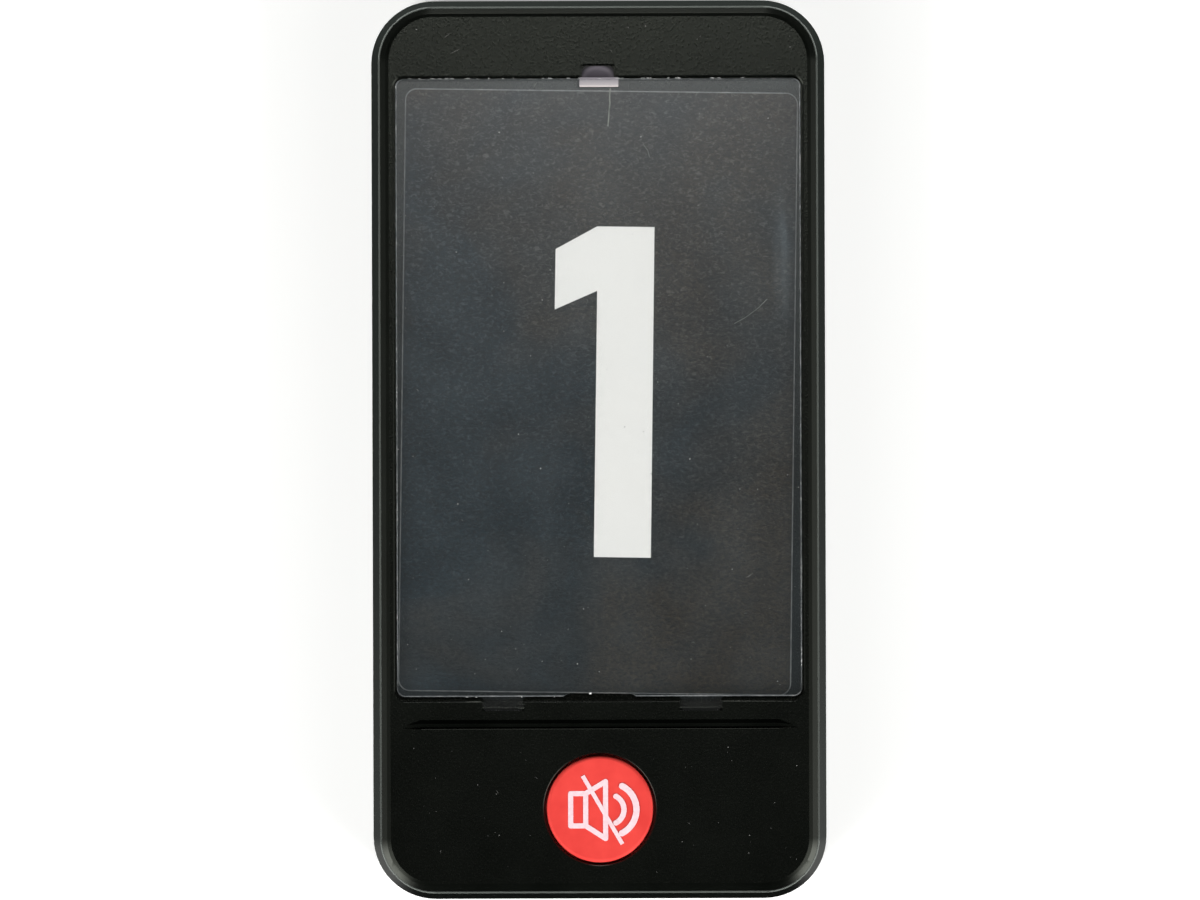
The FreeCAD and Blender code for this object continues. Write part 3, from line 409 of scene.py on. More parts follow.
def thumbSheenAndShade():
    # a smoky lip with a painted highlight along a soft arc and painted shade towards its corners
    material, tree, shader = newMaterial("thumbSheenAndShade", {"Roughness": 0.38, "IOR": 1.49})
    points = objectPoints(tree)
    place = addNode(tree, "ShaderNodeSeparateXYZ", Vector=points)
    reachX, reachY = latchBlock["thumbReach"]
    across = mathOf(tree, "DIVIDE", place.outputs["X"], reachX)
    up = mathOf(tree, "DIVIDE", mathOf(tree, "SUBTRACT", place.outputs["Y"], latchBlock["thumbFoot"]), reachY)
    radius = mathOf(tree, "SQRT", mathOf(tree, "ADD", mathOf(tree, "MULTIPLY", across, across),
                                         mathOf(tree, "MULTIPLY", up, up)))
    # the paler arc is a painted highlight and the dark towards the corners is painted shade
    colour = rampOf(tree, radius, [(0.0, (0.068, 0.059, 0.071)), (0.55, (0.066, 0.058, 0.070)),
                                   (0.78, (0.100, 0.090, 0.104)), (0.90, (0.062, 0.055, 0.066)),
                                   (1.0, (0.012, 0.011, 0.012))])
    tree.links.new(colour, shader.inputs["Base Color"])
    return material


def buttonRed():
    material, tree, shader = newMaterial("buttonRed", {"Roughness": 0.55, "IOR": 1.47,
                                                       "Specular IOR Level": 0.35})
    points = objectPoints(tree)
    cloud = noiseOf(tree, points, 0.35, 3)
    colour = rampOf(tree, cloud, [(0.3, (0.644, 0.0432, 0.0367)), (0.7, (0.736, 0.0600, 0.0490))])
    tree.links.new(colour, shader.inputs["Base Color"])
    fine = noiseOf(tree, points, 3.5, 3, 0.6)
    bumpOf(tree, shader, fine, 0.6, 0.006 * mm)
    return material


def iconInk():
    return twoTones("iconInk", {"Roughness": 0.45, "Specular IOR Level": 0.4},
                    [(0.3, (0.74, 0.52, 0.56)), (0.7, (0.84, 0.65, 0.69))], 2.2, 4, 0.6,
                    relief=(0.5, 0.004 * mm))


def paleMark():
    # abraded plastic, paler than the plate around it
    return twoTones("paleMark", {"Roughness": 0.6},
                    [(0.3, (0.10, 0.11, 0.10)), (0.75, (0.23, 0.24, 0.22))], 1.3)


def chipWhite():
    # the broken edge of the clear plate
    return twoTones("chipWhite", {"Roughness": 0.35},
                    [(0.35, (0.30, 0.31, 0.31)), (0.65, (0.80, 0.80, 0.78))], 0.5)


def dustGrey():
    return twoTones("dustGrey", {"Roughness": 0.9},
                    [(0.35, (0.10, 0.10, 0.10)), (0.7, (0.45, 0.44, 0.42))], 0.7, 2)


def plainFinish(name, low, high, perMm, rough=0.5, metal=0.0, depth=0.01 * mm, stretch=(1, 1, 1)):
    # two near tones in fine noise, with the same noise as relief
    material, tree, shader = newMaterial(name, {"Metallic": metal, "Roughness": rough})
    points = objectPoints(tree, tuple(1000 * s for s in stretch))
    noise = noiseOf(tree, points, perMm, 4, 0.6)
    colour = rampOf(tree, noise, [(0.3, low), (0.7, high)])
    tree.links.new(colour, shader.inputs["Base Color"])
    roughness = rangeOf(tree, noise, 0.3, 0.7, rough - 0.07, rough + 0.07)
    tree.links.new(roughness, shader.inputs["Roughness"])
    bumpOf(tree, shader, noise, 0.6, depth)
    return material


def boardGreen():
    # solder mask over faint copper tracks
    material, tree, shader = newMaterial("boardGreen", {"Roughness": 0.35})
    points = objectPoints(tree)
    tracks = addNode(tree, "ShaderNodeTexBrick", Vector=points, Scale=0.35, Mortar_Size=0.06,
                     Color1=(0.016, 0.125, 0.052, 1), Color2=(0.02, 0.14, 0.06, 1),
                     Mortar=(0.035, 0.21, 0.09, 1))
    tree.links.new(tracks.outputs["Color"], shader.inputs["Base Color"])
    bumpOf(tree, shader, tracks.outputs["Fac"], 0.4, 0.03 * mm)
    return material


# Camera, light and floor

cameraPlan = {
    "place": (0.13 * mm, -0.04 * mm, 1.066),
    "lens": 266.8,
    "sensor": 36,
    "clip": (0.05, 20),
    "roll": -0.17,  # degrees
}


def placeCamera():
    data = bpy.data.cameras.new("frontCamera")
    data.lens = cameraPlan["lens"]
    data.sensor_width = cameraPlan["sensor"]
    data.sensor_fit = "HORIZONTAL"
    data.clip_start, data.clip_end = cameraPlan["clip"]
    camera = bpy.data.objects.new("frontCamera", data)
    camera.location = cameraPlan["place"]
    camera.rotation_euler = (0, 0, math.radians(cameraPlan["roll"]))
    bpy.context.scene.collection.objects.link(camera)
    bpy.context.scene.camera = camera


# azimuth 0 is +X and 90 is +Y; each lamp faces the pager
lamps = {
    "rimUpper": {"azimuth": 90, "elevation": 12, "distance": 0.95, "size": 0.30, "watts": 0.60},
    "overhead": {"azimuth": 90, "elevation": 77, "distance": 0.72, "size": 0.09, "watts": 0.20},
    "keyLeft": {"azimuth": 213, "elevation": 22, "distance": 1.4, "size": 0.8, "watts": 27.5},
    "keyRight": {"azimuth": 329, "elevation": 22, "distance": 1.4, "size": 0.8, "watts": 27.5},
}
unmirrored = ("keyLeft", "keyRight")  # these light the pager, and its gloss mirrors the tent alone


def placeLamp(name, lamp):
    azimuth, elevation = math.radians(lamp["azimuth"]), math.radians(lamp["elevation"])
    away = Vector((math.cos(azimuth) * math.cos(elevation),
                   math.sin(azimuth) * math.cos(elevation), math.sin(elevation)))
    data = bpy.data.lights.new(name, "AREA")
    data.shape = "DISK"
    data.size = lamp["size"]
    data.energy = lamp["watts"]
    light = bpy.data.objects.new(name, data)
    light.location = away * lamp["distance"]
    light.rotation_euler = away.to_track_quat("Z", "Y").to_euler()
    light.visible_camera = False
    light.visible_glossy = name not in unmirrored
    bpy.context.scene.collection.objects.link(light)


# the height in each ramp runs from straight down at 0 to straight up at 1; around runs from
# -1 at the pager's foot to 1 at its head, the same on both sides
skyPlan = {
    "ring": [(0.15, 0.0), (0.18, 1.1), (0.205, 5.2), (0.23, 1.1), (0.27, 0.0)],
    "base": [(0.03, 1.0), (0.12, 1.2), (0.30, 1.0), (0.50, 0.8), (0.65, 0.5), (0.80, 0.3)],
    "baseEnds": (0.006, 0.075),
    "lowTint": (0.86, 1.02, 0.93),
    "ringTint": (0.93, 1.0, 0.96),
    "glow": [(0.02, 0.18), (0.12, 0.28), (0.30, 0.9), (0.42, 2.7), (0.50, 3.9), (0.56, 3.2), (0.63, 1.5),
             (0.80, 1.4), (0.90, 1.3), (0.95, 0.0)],
    "glowTint": (1.0, 1.0, 0.98),
    "around": [(-1, 0), (-0.93, 0.02), (-0.86, 0.30), (-0.74, 1.0), (-0.33, 1.0), (-0.21, 0.60),
               (-0.13, 0.24), (-0.05, 0.115), (0, 0.038), (0.05, 0.010), (0.15, 0.008), (1, 0.02)],
    "rightShift": 0.06,  # the glow reaches further up along the right side
}


def paintSky():
    # a light tent with an open top, bright towards both near corners of the pager, and a
    # narrow pale ring below the horizon that the fine crease round the case mirrors
    world = bpy.data.worlds.new("lightTent")
    world.use_nodes = True
    tree = world.node_tree
    coords = addNode(tree, "ShaderNodeTexCoord")
    split = addNode(tree, "ShaderNodeSeparateXYZ", Vector=coords.outputs["Generated"])
    x, y, z = (split.outputs[axis] for axis in "XYZ")
    height = rangeOf(tree, z, -1, 1, 0, 1)

    def tonesOf(stops, tint):
        return rampOf(tree, height, [(place, tuple(tone * part for part in tint)) for place, tone in stops])

    spread = mathOf(tree, "ADD", mathOf(tree, "MULTIPLY", x, x), mathOf(tree, "MULTIPLY", y, y))
    turned = mathOf(tree, "DIVIDE", y, mathOf(tree, "SQRT", spread))
    right = mathOf(tree, "MULTIPLY", mathOf(tree, "GREATER_THAN", x, 0), skyPlan["rightShift"])
    place = rangeOf(tree, mathOf(tree, "SUBTRACT", turned, right), -1, 1, 0, 1)
    share = rampOf(tree, place, [((at + 1) / 2, (part, part, part)) for at, part in skyPlan["around"]])
    glow = joinedTones(tree, "MULTIPLY", tonesOf(skyPlan["glow"], skyPlan["glowTint"]), share)
    base = scaledTone(tree, tonesOf(skyPlan["base"], skyPlan["lowTint"]),
                      rangeOf(tree, place, 0, 1, *skyPlan["baseEnds"]))
    ring = tonesOf(skyPlan["ring"], skyPlan["ringTint"])
    total = joinedTones(tree, "ADD", joinedTones(tree, "ADD", ring, glow), base)
    tree.links.new(total, tree.nodes["Background"].inputs["Color"])
    bpy.context.scene.world = world


floorPlan = {
    "halfSide": 1.6,
    "drop": 0.02 * mm,
    "colour": (0.90, 0.90, 0.89, 1),
    "glow": 0.34,  # lit from below as well, like a light table
}


def layFloor():
    bm = bmesh.new()
    bmesh.ops.create_grid(bm, x_segments=1, y_segments=1, size=floorPlan["halfSide"])
    bmesh.ops.translate(bm, verts=bm.verts, vec=(0, 0, -floorPlan["drop"]))
    mesh = bpy.data.meshes.new("floor")
    bm.to_mesh(mesh)
    bm.free()
    material = newMaterial("floorPale", {"Base Color": floorPlan["colour"], "Roughness": 0.9,
                                       "Emission Color": floorPlan["colour"],
                                       "Emission Strength": floorPlan["glow"]})[0]
    mesh.materials.append(material)
    floor = bpy.data.objects.new("floor", mesh)
    floor.visible_glossy = False  # the case's sides mirror the tent and not the white floor
    bpy.context.scene.collection.objects.link(floor)


placeCamera()
for lampName, lampValues in lamps.items():
    placeLamp(lampName, lampValues)
paintSky()
layFloor()
bpy.context.scene.view_settings.view_transform = "Standard"
print("camera, lamps, sky and floor ready")


# Case

casePlan = {
    "edgeRound": 0.05 * mm,
    "edgeAngle": 14,  # degrees
    "roundAbove": 5.9 * mm,
    "skin": 2.6 * mm,
    "topBand": 0.2 * mm,
    "creaseBand": (-33.3 * mm, -31.7 * mm),
    "pocketBand": (-31.4 * mm, -29.7 * mm),
    "creaseLip": -33.0 * mm,
    "lipAngle": 0.3,  # radians
    "lipRound": 0.10 * mm,
    "grooveEdge": (-32.81 * mm, 12.78 * mm),
    "floorRise": 0.046 * mm,
    "shoulderMiddle": -32.2 * mm,
    "polishAndShadeBelow": 0.97,  # upright part of a face's direction below which a groove is polished and painted darker as shade
    "sillAbove": 0.3,
    "frontSharp": 22,  # degrees
    "softBelow": 0.65,  # radians
    "floorBand": 0.3 * mm,
    "floorAngle": 40,  # degrees
}
caseMaterial = casePlastic("casePlastic", *caseLook["faceRough"])
# darker copy for the crease and the sill: its darkness is painted shade
grooveShadedMaterial = casePlastic("casePolishedShaded", *caseLook["grooveRough"], caseLook["grooveShadeTone"])
frontHigh = cornersOf("front_housing")[1]


def within(value, band):
    return band[0] < value < band[1]


def amidst(point, band):
    return within(point.y, band) and abs(point.x) < frontHigh.x - casePlan["skin"]


def inCrease(point):
    return amidst(point, casePlan["creaseBand"])


def onFrontOutside(edge):
    middle = middleOfEdge(edge)
    skin = casePlan["skin"]
    nearSide = abs(middle.x) > frontHigh.x - skin or abs(middle.y) > frontHigh.y - skin
    near = nearSide or middle.z > frontHigh.z - casePlan["topBand"]
    plain = not inCrease(middle) and not amidst(middle, casePlan["pocketBand"])
    return near and plain and middle.z > casePlan["roundAbove"]


def onCreaseLip(edge):
    ends = [vert.co for vert in edge.verts]
    return (inCrease(middleOfEdge(edge)) and max(end.y for end in ends) < casePlan["creaseLip"]
            and min(end.y for end in ends) > casePlan["creaseBand"][0]
            and min(end.z for end in ends) > frontHigh.z - hair
            and edge.calc_face_angle(0) > casePlan["lipAngle"])


def shapeCrease(bm):
    # the lower lip is rounded, the floor rises to its fine groove and the shoulder bends midway
    bevelEdges(bm, [edge for edge in bm.edges if onCreaseLip(edge)], casePlan["lipRound"], 4)
    grooveEdge = Vector(casePlan["grooveEdge"])
    raised = [vert for vert in bm.verts if (vert.co.yz - grooveEdge).length < hair]
    bmesh.ops.translate(bm, verts=raised, vec=(0, 0, casePlan["floorRise"]))
    shoulder = [face for face in bm.faces if inCrease(face.calc_center_median())
                and face.normal.y < -0.2 and face.normal.z > 0.8]
    around = dict.fromkeys(part for face in shoulder for part in (*face.verts, *face.edges, face))
    bmesh.ops.bisect_plane(bm, geom=list(around), dist=hair / 100, plane_no=(0, 1, 0),
                           plane_co=(0, casePlan["shoulderMiddle"], 0))


def polishAndShadeGrooves(bm):
    # the crease's slopes and the window's sill are smoother than the face, and painted darker as shade
    for face in bm.faces:
        middle = face.calc_center_median()
        tilted = face.normal.z < casePlan["polishAndShadeBelow"]
        sill = within(middle.y, casePlan["pocketBand"]) and face.normal.z > casePlan["sillAbove"]
        face.material_index = 1 if tilted and (inCrease(middle) or sill) else 0


def softenCrease(mesh):
    # gentle bends inside the crease shade as curves
    faces = {}
    for polygon in mesh.polygons:
        for edge in polygon.edge_keys:
            faces.setdefault(edge, []).append(polygon.normal)
    for edge in mesh.edges:
        ends = [mesh.vertices[index].co for index in edge.vertices]
        sides = faces[edge.key]
        if all(inCrease(end) for end in ends) and sides[0].angle(sides[-1]) < casePlan["softBelow"]:
            edge.use_edge_sharp = False


def frontShell():
    bm = copyOfNode("front_housing")
    outer = sharpEdges(bm, casePlan["edgeAngle"], onFrontOutside)
    bevelEdges(bm, outer, casePlan["edgeRound"], 2)
    shapeCrease(bm)
    polishAndShadeGrooves(bm)
    piece = makePiece("frontShell", bm, "root", [caseMaterial, grooveShadedMaterial],
                      ["front_housing"], sharpAngle=casePlan["frontSharp"], flip=False)
    softenCrease(piece.data)
    evenShading(piece)


def rearShell():
    bm = copyOfNode("rear_housing")
    outer = sharpEdges(bm, casePlan["floorAngle"], lambda edge: middleOfEdge(edge).z < casePlan["floorBand"])
    bevelEdges(bm, outer, casePlan["edgeRound"], 2)
    piece = makePiece("rearShell", bm, "root", [caseMaterial], ["rear_housing"], flip=False)
    evenShading(piece)


frontShell()
rearShell()
print("case shells dressed")


# Number card

cardPlan = {
    "rimWidth": 0.14 * mm,
    "printProud": 0.02 * mm,
    "numeral": [(-0.13, 26.47), (-5.06, 23.80), (-5.19, 16.63), (-0.15, 18.83),
                (-0.64, -12.72), (6.12, -12.84), (6.67, 26.37)],
}


def numberCard():
    bm = copyOfNode("number_card")
    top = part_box("number_card")[1][2]
    faces = [face for face in bm.faces if face.normal.z > 0.9 and face.calc_center_median().z > top - hair]
    rim = bmesh.ops.inset_region(bm, faces=faces, thickness=cardPlan["rimWidth"], depth=0,
                                 use_even_offset=True)["faces"]
    for face in rim:
        face.material_index = 1
    makePiece("numberCard", bm, "root", [cardPrint(), cardRim()], ["number_card"], flip=False)


def numeral():
    bm = bmesh.new()
    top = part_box("number_card")[1][2]
    verts = [bm.verts.new((x * mm, y * mm, top)) for x, y in cardPlan["numeral"]]
    face = bm.faces.new(verts)
    grown = bmesh.ops.extrude_face_region(bm, geom=[face])["geom"]
    raised = [part for part in grown if isinstance(part, bmesh.types.BMVert)]
    bmesh.ops.translate(bm, verts=raised, vec=(0, 0, cardPlan["printProud"]))
    makePiece("numeral", bm, "root", [numeralPaint()])


numberCard()
numeral()
print("card and numeral laid in")


# Clear cover

coverPlan = {
    "ends": (-29.34 * mm, 44.07 * mm),
    "take": 0.11 * mm,  # both ends of the plate stop this much short of the solid's
    "ease": 1.0 * mm,
    "rimDepth": 0.2 * mm,
    "halfThumb": 1.95 * mm,
}
latchBlock = {
    "inset": 0.04 * mm,
    "lowY": 42.97 * mm,
    "highY": 44.10 * mm,
    "halfWidth": 2.35 * mm,
    "thumbFoot": 44.0,
    "thumbReach": (2.15, 1.62),
    "shift": 0.13 * mm,
    "rise": 0.07 * mm,
    "round": 0.08 * mm,
}


def clearCover():
    bm = copyOfNode("clear_cover")
    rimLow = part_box("clear_cover")[1][2] - coverPlan["rimDepth"]
    (footY, headY), ease, take = coverPlan["ends"], coverPlan["ease"], coverPlan["take"]
    for vert in bm.verts:
        if headY - ease < vert.co.y < headY + hair:
            vert.co.y -= take * (vert.co.y - headY + ease) / ease
        elif footY - hair < vert.co.y < footY + ease:
            vert.co.y += take * (footY + ease - vert.co.y) / ease
    clear, rim, thumb = range(3)
    for face in bm.faces:
        middle = face.calc_center_median()
        face.material_index = clear
        if abs(face.normal.z) < 0.95 and middle.z > rimLow:
            face.material_index = rim
        if abs(middle.x) < coverPlan["halfThumb"] and middle.y > latchBlock["highY"]:
            face.material_index = thumb
    makePiece("coverPlate", bm, "cover", [coverClear(), coverRim(), thumbSheenAndShade()],
              ["clear_cover"], flip=False)


def latchFoot():
    # the milky latch that shows through the top of the cover
    low, high = cornersOf("clear_cover")
    inset = latchBlock["inset"]
    middle, half = latchBlock["shift"], latchBlock["halfWidth"] - inset
    start = Vector((middle - half, latchBlock["lowY"] + inset, low.z + inset))
    end = Vector((middle + half, latchBlock["highY"] + latchBlock["rise"] - inset, high.z - inset))
    bm = bmesh.new()
    size = Matrix.Diagonal((*(end - start), 1))
    bmesh.ops.create_cube(bm, size=1, matrix=Matrix.Translation((start + end) / 2) @ size)
    bevelEdges(bm, bm.edges[:], latchBlock["round"], 2)
    makePiece("latchFoot", bm, "cover", [latchMilky()])


clearCover()
latchFoot()
print("clear cover made")


# Mute button

capPlan = {
    "edgeAngle": 12,  # degrees
    "edgeBand": 1.0 * mm,
    "edgeRound": 0.04 * mm,
}
iconPlan = {
    "height": 0.03 * mm,
    "scale": 0.9936,
    "lift": 0.000075 * mm,  # for each corner drawn before, so strokes that cross share no plane
    "dotSides": 20,
    "arcSteps": 24,
    "box": [(-1.70, 1.86), (-3.49, 1.86), (-3.49, -1.98), (-1.70, -1.98)],
    "cone": [(-1.70, 1.86), (0.67, 3.30), (0.67, -3.50), (-1.70, -1.98), (-1.70, 1.86)],
    "slash": [(-2.05, 3.98), (2.67, -4.16)],
    "boxStroke": 0.61,
    "slashStroke": 0.49,
    "arcs": [
        {"ends": [(1.90, 1.53), (1.90, -1.64)], "middle": (2.86, -0.02), "stroke": 0.64},
        {"ends": [(2.65, 2.75), (2.61, -2.87)], "middle": (4.35, -0.10), "stroke": 0.75},
    ],
}


def buttonCap():
    bm = copyOfNode("mute_button")
    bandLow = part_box("mute_button")[1][2] - capPlan["edgeBand"]
    edges = sharpEdges(bm, capPlan["edgeAngle"], lambda edge: min(v.co.z for v in edge.verts) > bandLow)
    bevelEdges(bm, edges, capPlan["edgeRound"], 1)
    piece = makePiece("buttonCap", bm, "button", [buttonRed()], ["mute_button"], flip=False)
    evenShading(piece)


def circleThrough(first, middle, last):
    # centre and radius of the circle through three points
    ax, ay, bx, by, cx, cy = *first, *middle, *last
    d = 2 * (ax * (by - cy) + bx * (cy - ay) + cx * (ay - by))
    ux = ((ax**2 + ay**2) * (by - cy) + (bx**2 + by**2) * (cy - ay) + (cx**2 + cy**2) * (ay - by)) / d
    uy = ((ax**2 + ay**2) * (cx - bx) + (bx**2 + by**2) * (ax - cx) + (cx**2 + cy**2) * (bx - ax)) / d
    return Vector((ux, uy)), math.hypot(ax - ux, ay - uy)


def raiseStroke(bm, verts):
    bmesh.ops.translate(bm, verts=verts, vec=(0, 0, iconPlan["lift"] * len(bm.verts)))


def inkDot(bm, at, stroke):
    dot = bmesh.ops.create_cone(bm, cap_ends=True, segments=iconPlan["dotSides"], radius1=stroke / 2,
                                radius2=stroke / 2, depth=iconPlan["height"],
                                matrix=Matrix.Translation(at))
    raiseStroke(bm, dot["verts"])


def inkBar(bm, start, end, stroke):
    raiseStroke(bm, flatBar(bm, start, end, stroke, iconPlan["height"]))


def inkArc(bm, centre, radius, startAngle, sweep, stroke):
    # the stroke's end face is spun round the centre
    radial = Vector((math.cos(startAngle), math.sin(startAngle), 0))
    half = iconPlan["height"] / 2
    corners = []
    for reach, rise in ((-0.5, -half), (0.5, -half), (0.5, half), (-0.5, half)):
        corners.append(bm.verts.new(centre + radial * (radius + reach * stroke) + Vector((0, 0, rise))))
    raiseStroke(bm, corners)
    face = bm.faces.new(corners)
    bmesh.ops.spin(bm, geom=[face], cent=centre, axis=(0, 0, 1), angle=sweep,
                   steps=iconPlan["arcSteps"], use_merge=False, use_duplicate=False)


def muteIcon():
    base = middleOf("mute_button")
    base.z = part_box("mute_button")[1][2]
    unit = iconPlan["scale"] * mm

    def at(point):
        return base + Vector((point[0] * unit, point[1] * unit, 0))

    bm = bmesh.new()
    for outline in (iconPlan["box"], iconPlan["cone"]):
        for point, following in zip(outline, outline[1:]):
            inkBar(bm, at(point), at(following), iconPlan["boxStroke"] * unit)
            inkDot(bm, at(point), iconPlan["boxStroke"] * unit)
    start, end = iconPlan["slash"]
    inkBar(bm, at(start), at(end), iconPlan["slashStroke"] * unit)
    for arc in iconPlan["arcs"]:
        flat, radius = circleThrough(arc["ends"][0], arc["middle"], arc["ends"][1])
        first = Vector(arc["ends"][0]) - flat
        last = Vector(arc["ends"][1]) - flat
        startAngle = math.atan2(last.y, last.x)
        sweep = math.atan2(first.y, first.x) - startAngle
        inkArc(bm, at(flat), radius * unit, startAngle, sweep, arc["stroke"] * unit)
        for point in arc["ends"]:
            inkDot(bm, at(point), arc["stroke"] * unit)
    makePiece("muteIcon", bm, "button", [iconInk()])


buttonCap()
muteIcon()
print("mute button and its icon made")


# Wear on the cover and settled dust

wearPlan = {
    "seed": 23,
    "height": 0.02 * mm,
    "margin": 0.5 * mm,
    "crack": [(1.48, 42.85), (1.40, 41.9), (1.42, 41.0), (1.30, 39.9), (1.27, 39.2), (1.18, 38.3)],
    "crackWidth": 0.16 * mm,
    "scratches": [
        [(16.1, 14.9), (17.4, 15.6), (18.9, 16.7), (20.0, 17.8)],
        [(-7.6, 42.9), (-7.2, 43.6)],
        [(5.4, 36.1), (5.9, 35.4), (6.1, 34.6)],
    ],
    "scratchWidth": 0.045 * mm,
    "coverSpecks": 190,
    "faceSpecks": 60,
    "speckSizes": (0.06, 0.22),
    "fibreShare": 0.08,
    "fibreStretch": (4, 9),
    "fibreWidth": 0.03 * mm,
    "faceInset": 3.2 * mm,
    "creaseClear": 4.0 * mm,
    "buttonClear": 8.0 * mm,
    "chips": {"top": 30, "right": 26, "left": 12, "bottom": 4},
    "chipSizes": (0.10, 0.75),
    "chipWidths": (0.04, 0.11),
    "chipHeight": 0.05 * mm,
    "chipInset": 0.09 * mm,
    "chipSink": 0.02 * mm,
    "chipTurn": 0.12,  # radians, either way
    "cornerClear": 1.0 * mm,
    "bottomChips": (2.0 * mm, -5.2 * mm),  # from this far past the corner to this X
    "notchChip": (-1.10, -28.86),
    "notchSize": (0.34 * mm, 0.26 * mm),
    "notchTurn": 0.2,
}


def scatterSpecks(bm, chance, count, box, top, keepOff=None):
    # most are tiny, a few are fibres
    (lowX, highX), (lowY, highY) = box
    smallest, largest = wearPlan["speckSizes"]
    placed = 0
    while placed < count:
        at = Vector((chance.uniform(lowX, highX), chance.uniform(lowY, highY), top))
        if keepOff and (at - keepOff["centre"]).xy.length < keepOff["radius"]:
            continue
        size = (smallest + (largest - smallest) * chance.random() ** 3) * mm
        length, width = size, size * chance.uniform(0.6, 1)
        if chance.random() < wearPlan["fibreShare"]:
            length, width = size * chance.uniform(*wearPlan["fibreStretch"]), wearPlan["fibreWidth"]
        flatGrain(bm, at, length, width, chance.uniform(0, math.pi), wearPlan["height"])
        placed += 1


def coverDust():
    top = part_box("clear_cover")[1][2]
    low, high = cornersOf("number_card")
    chance = random.Random(wearPlan["seed"])
    bm = bmesh.new()
    scatterSpecks(bm, chance, wearPlan["coverSpecks"], ((low.x, high.x), (low.y, high.y)), top)
    makePiece("coverDust", bm, "cover", [dustGrey()])


def faceDust():
    low, high = cornersOf("front_housing")
    coverLow, coverHigh = cornersOf("clear_cover")
    button = {"centre": middleOf("mute_button"), "radius": wearPlan["buttonClear"]}
    chance = random.Random(wearPlan["seed"] + 1)
    inset = wearPlan["faceInset"]
    across = (low.x + inset, high.x - inset)
    below = (across, (low.y + inset, coverLow.y - wearPlan["creaseClear"]))
    above = (across, (coverHigh.y + wearPlan["margin"], high.y - inset))
    bm = bmesh.new()
    scatterSpecks(bm, chance, wearPlan["faceSpecks"] * 2 // 3, below, high.z, button)
    scatterSpecks(bm, chance, wearPlan["faceSpecks"] // 3, above, high.z)
    makePiece("faceDust", bm, "root", [dustGrey()])


def scratchLine(bm, points, width):
    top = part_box("clear_cover")[1][2]
    places = [Vector((x * mm, y * mm, top)) for x, y in points]
    for start, end in zip(places, places[1:]):
        flatBar(bm, start, end, width, wearPlan["height"])


def coverMarks():
    # a short crack below the latch, and hairline scratches
    bm = bmesh.new()
    scratchLine(bm, wearPlan["crack"], wearPlan["crackWidth"])
    for scratch in wearPlan["scratches"]:
        scratchLine(bm, scratch, wearPlan["scratchWidth"])
    makePiece("coverMarks", bm, "cover", [paleMark()])


def chippedSides(low, high):
    # start and end of the line along each side of the plate that has chips
    corner, inset = wearPlan["cornerClear"], wearPlan["chipInset"]
    foot, head = coverPlan["ends"][0], latchBlock["highY"]
    bottomPast, bottomEnd = wearPlan["bottomChips"]
    return {
        "top": ((low.x + corner, head - inset), (high.x - corner, head - inset)),
        "right": ((high.x - inset, foot + corner), (high.x - inset, head - corner)),
        "left": ((low.x + inset, foot + corner), (low.x + inset, head - corner)),
        "bottom": ((low.x + bottomPast, foot + inset), (bottomEnd, foot + inset)),
    }


def coverChips():
    low, high = cornersOf("clear_cover")
    chance = random.Random(wearPlan["seed"] + 2)
    turn = wearPlan["chipTurn"]
    bm = bmesh.new()
    for side, ends in chippedSides(low, high).items():
        start, end = (Vector((*place, 0)) for place in ends)
        along = end - start
        angle = math.atan2(along.y, along.x)
        for _ in range(wearPlan["chips"][side]):
            at = start + along * chance.random()
            at.z = high.z - wearPlan["chipSink"]
            length = chance.uniform(*wearPlan["chipSizes"]) * mm
            width = chance.uniform(*wearPlan["chipWidths"]) * mm
            flatGrain(bm, at, length, width, angle + chance.uniform(-turn, turn), wearPlan["chipHeight"])
    x, y = wearPlan["notchChip"]
    flatGrain(bm, Vector((x * mm, y * mm, high.z)), *wearPlan["notchSize"], wearPlan["notchTurn"],
              wearPlan["chipHeight"])
    makePiece("coverChips", bm, "cover", [chipWhite()])


coverDust()
faceDust()
coverMarks()
coverChips()
print("marks, chips and dust laid")


# Inner parts keep their CAD shapes

def dressNode(nodeName, material):
    piece = nodes[nodeName]
    for slotIndex in range(len(piece.material_slots)):
        piece.material_slots[slotIndex].material = material


panelMilky = plainFinish("panelMilky", (0.80, 0.81, 0.81), (0.88, 0.89, 0.89), 0.8, 0.45)
siliconeGrey = plainFinish("siliconeGrey", (0.48, 0.49, 0.50), (0.60, 0.61, 0.62), 1.5, 0.6)
carbonBlack = plainFinish("carbonBlack", (0.02, 0.02, 0.02), (0.04, 0.04, 0.04), 4, 0.75)
contactGold = plainFinish("contactGold", (0.72, 0.50, 0.20), (0.88, 0.68, 0.34), 2.5, 0.28, 1.0, 0.004 * mm)
chipBlack = plainFinish("chipBlack", (0.02, 0.02, 0.022), (0.045, 0.045, 0.048), 5, 0.6)
shieldMetal = plainFinish("shieldMetal", (0.52, 0.52, 0.53), (0.70, 0.70, 0.71), 3, 0.3, 1.0, 0.004 * mm,
                          (1, 8, 1))
lampWhite = plainFinish("lampWhite", (0.84, 0.82, 0.70), (0.92, 0.90, 0.82), 2, 0.4)
cellFoil = plainFinish("cellFoil", (0.60, 0.61, 0.63), (0.78, 0.79, 0.81), 0.5, 0.32, 1.0, 0.08 * mm)
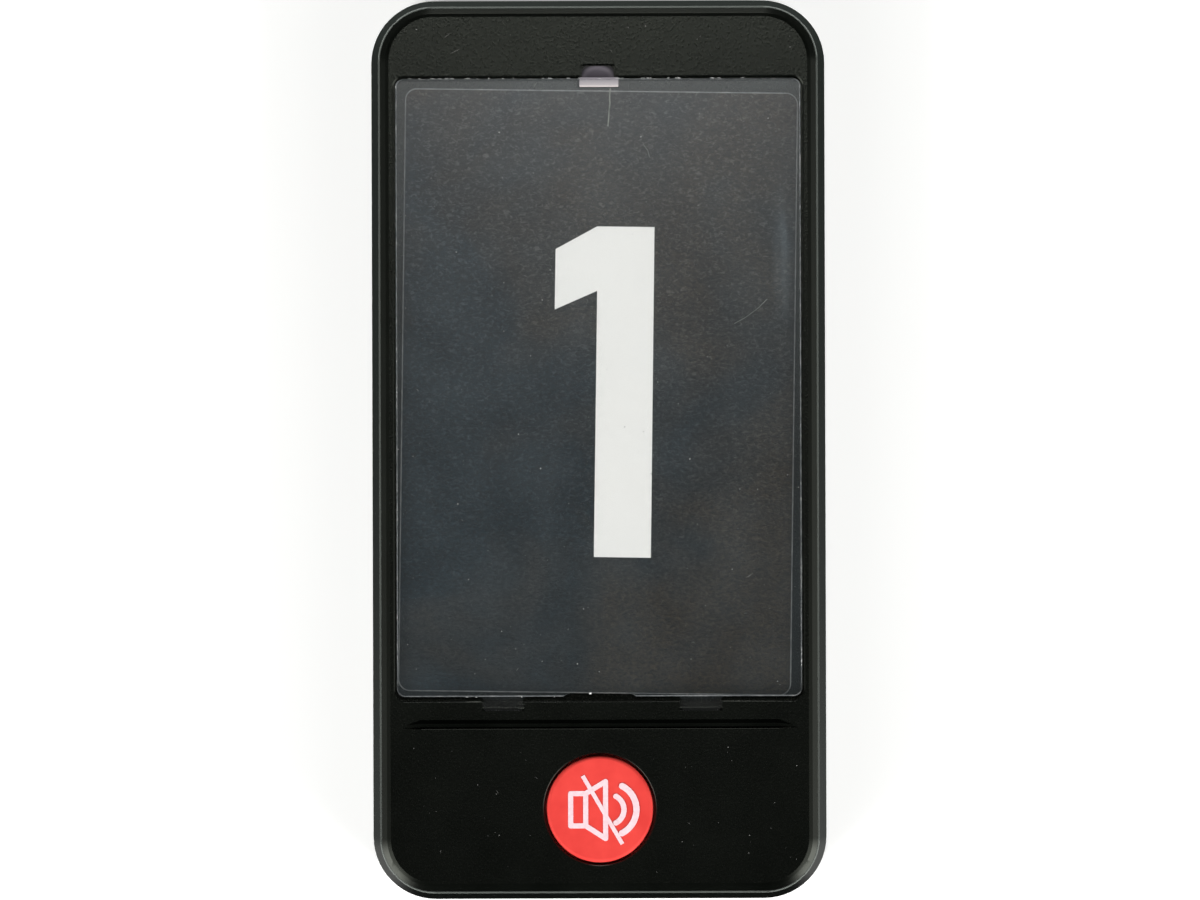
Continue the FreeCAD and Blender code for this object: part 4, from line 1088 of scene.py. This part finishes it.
tapeFoam = plainFinish("tapeFoam", (0.66, 0.64, 0.57), (0.80, 0.78, 0.70), 3, 0.85, 0.0, 0.03 * mm)
leadRed = plainFinish("leadRed", (0.55, 0.02, 0.02), (0.72, 0.04, 0.035), 1.5, 0.42)
leadBlack = plainFinish("leadBlack", (0.012, 0.012, 0.012), (0.03, 0.03, 0.03), 1.5, 0.42)
connectorWhite = plainFinish("connectorWhite", (0.80, 0.79, 0.73), (0.88, 0.87, 0.82), 1.5, 0.5)
screwSteel = plainFinish("screwSteel", (0.40, 0.40, 0.42), (0.60, 0.60, 0.62), 3, 0.3, 1.0, 0.006 * mm)
weightMetal = plainFinish("weightMetal", (0.28, 0.28, 0.29), (0.44, 0.44, 0.46), 4, 0.42, 1.0, 0.01 * mm)
bootRubber = plainFinish("bootRubber", (0.03, 0.03, 0.03), (0.06, 0.06, 0.06), 2, 0.8)
knobBlack = plainFinish("knobBlack", (0.03, 0.03, 0.03), (0.055, 0.055, 0.055), 3, 0.5, 0.0, 0.015 * mm)

innerFinish = {
    "light_panel": panelMilky,
    "button_dome": siliconeGrey,
    "contact_pill": carbonBlack,
    "contact_pads": contactGold,
    "circuit_board": boardGreen(),
    "microcontroller": chipBlack,
    "radio_module": shieldMetal,
    "antenna_wire": contactGold,
    "indicator_lamps": lampWhite,
    "buzzer": chipBlack,
    "battery_cell": cellFoil,
    "battery_tape": tapeFoam,
    "battery_lead_red": leadRed,
    "battery_lead_black": leadBlack,
    "battery_connector": connectorWhite,
    "motor_can": shieldMetal,
    "motor_end_cap": connectorWhite,
    "motor_shaft": screwSteel,
    "motor_weight": weightMetal,
    "motor_boot": bootRubber,
    "motor_leads": leadBlack,
    "switch_case": shieldMetal,
    "switch_knob": knobBlack,
    "charging_contact_left": contactGold,
    "charging_contact_right": contactGold,
    "charging_springs": contactGold,
    "case_screws": screwSteel,
    "board_screws": screwSteel,
}
for innerName, innerMaterial in innerFinish.items():
    dressNode(innerName, innerMaterial)
print("inner parts dressed")
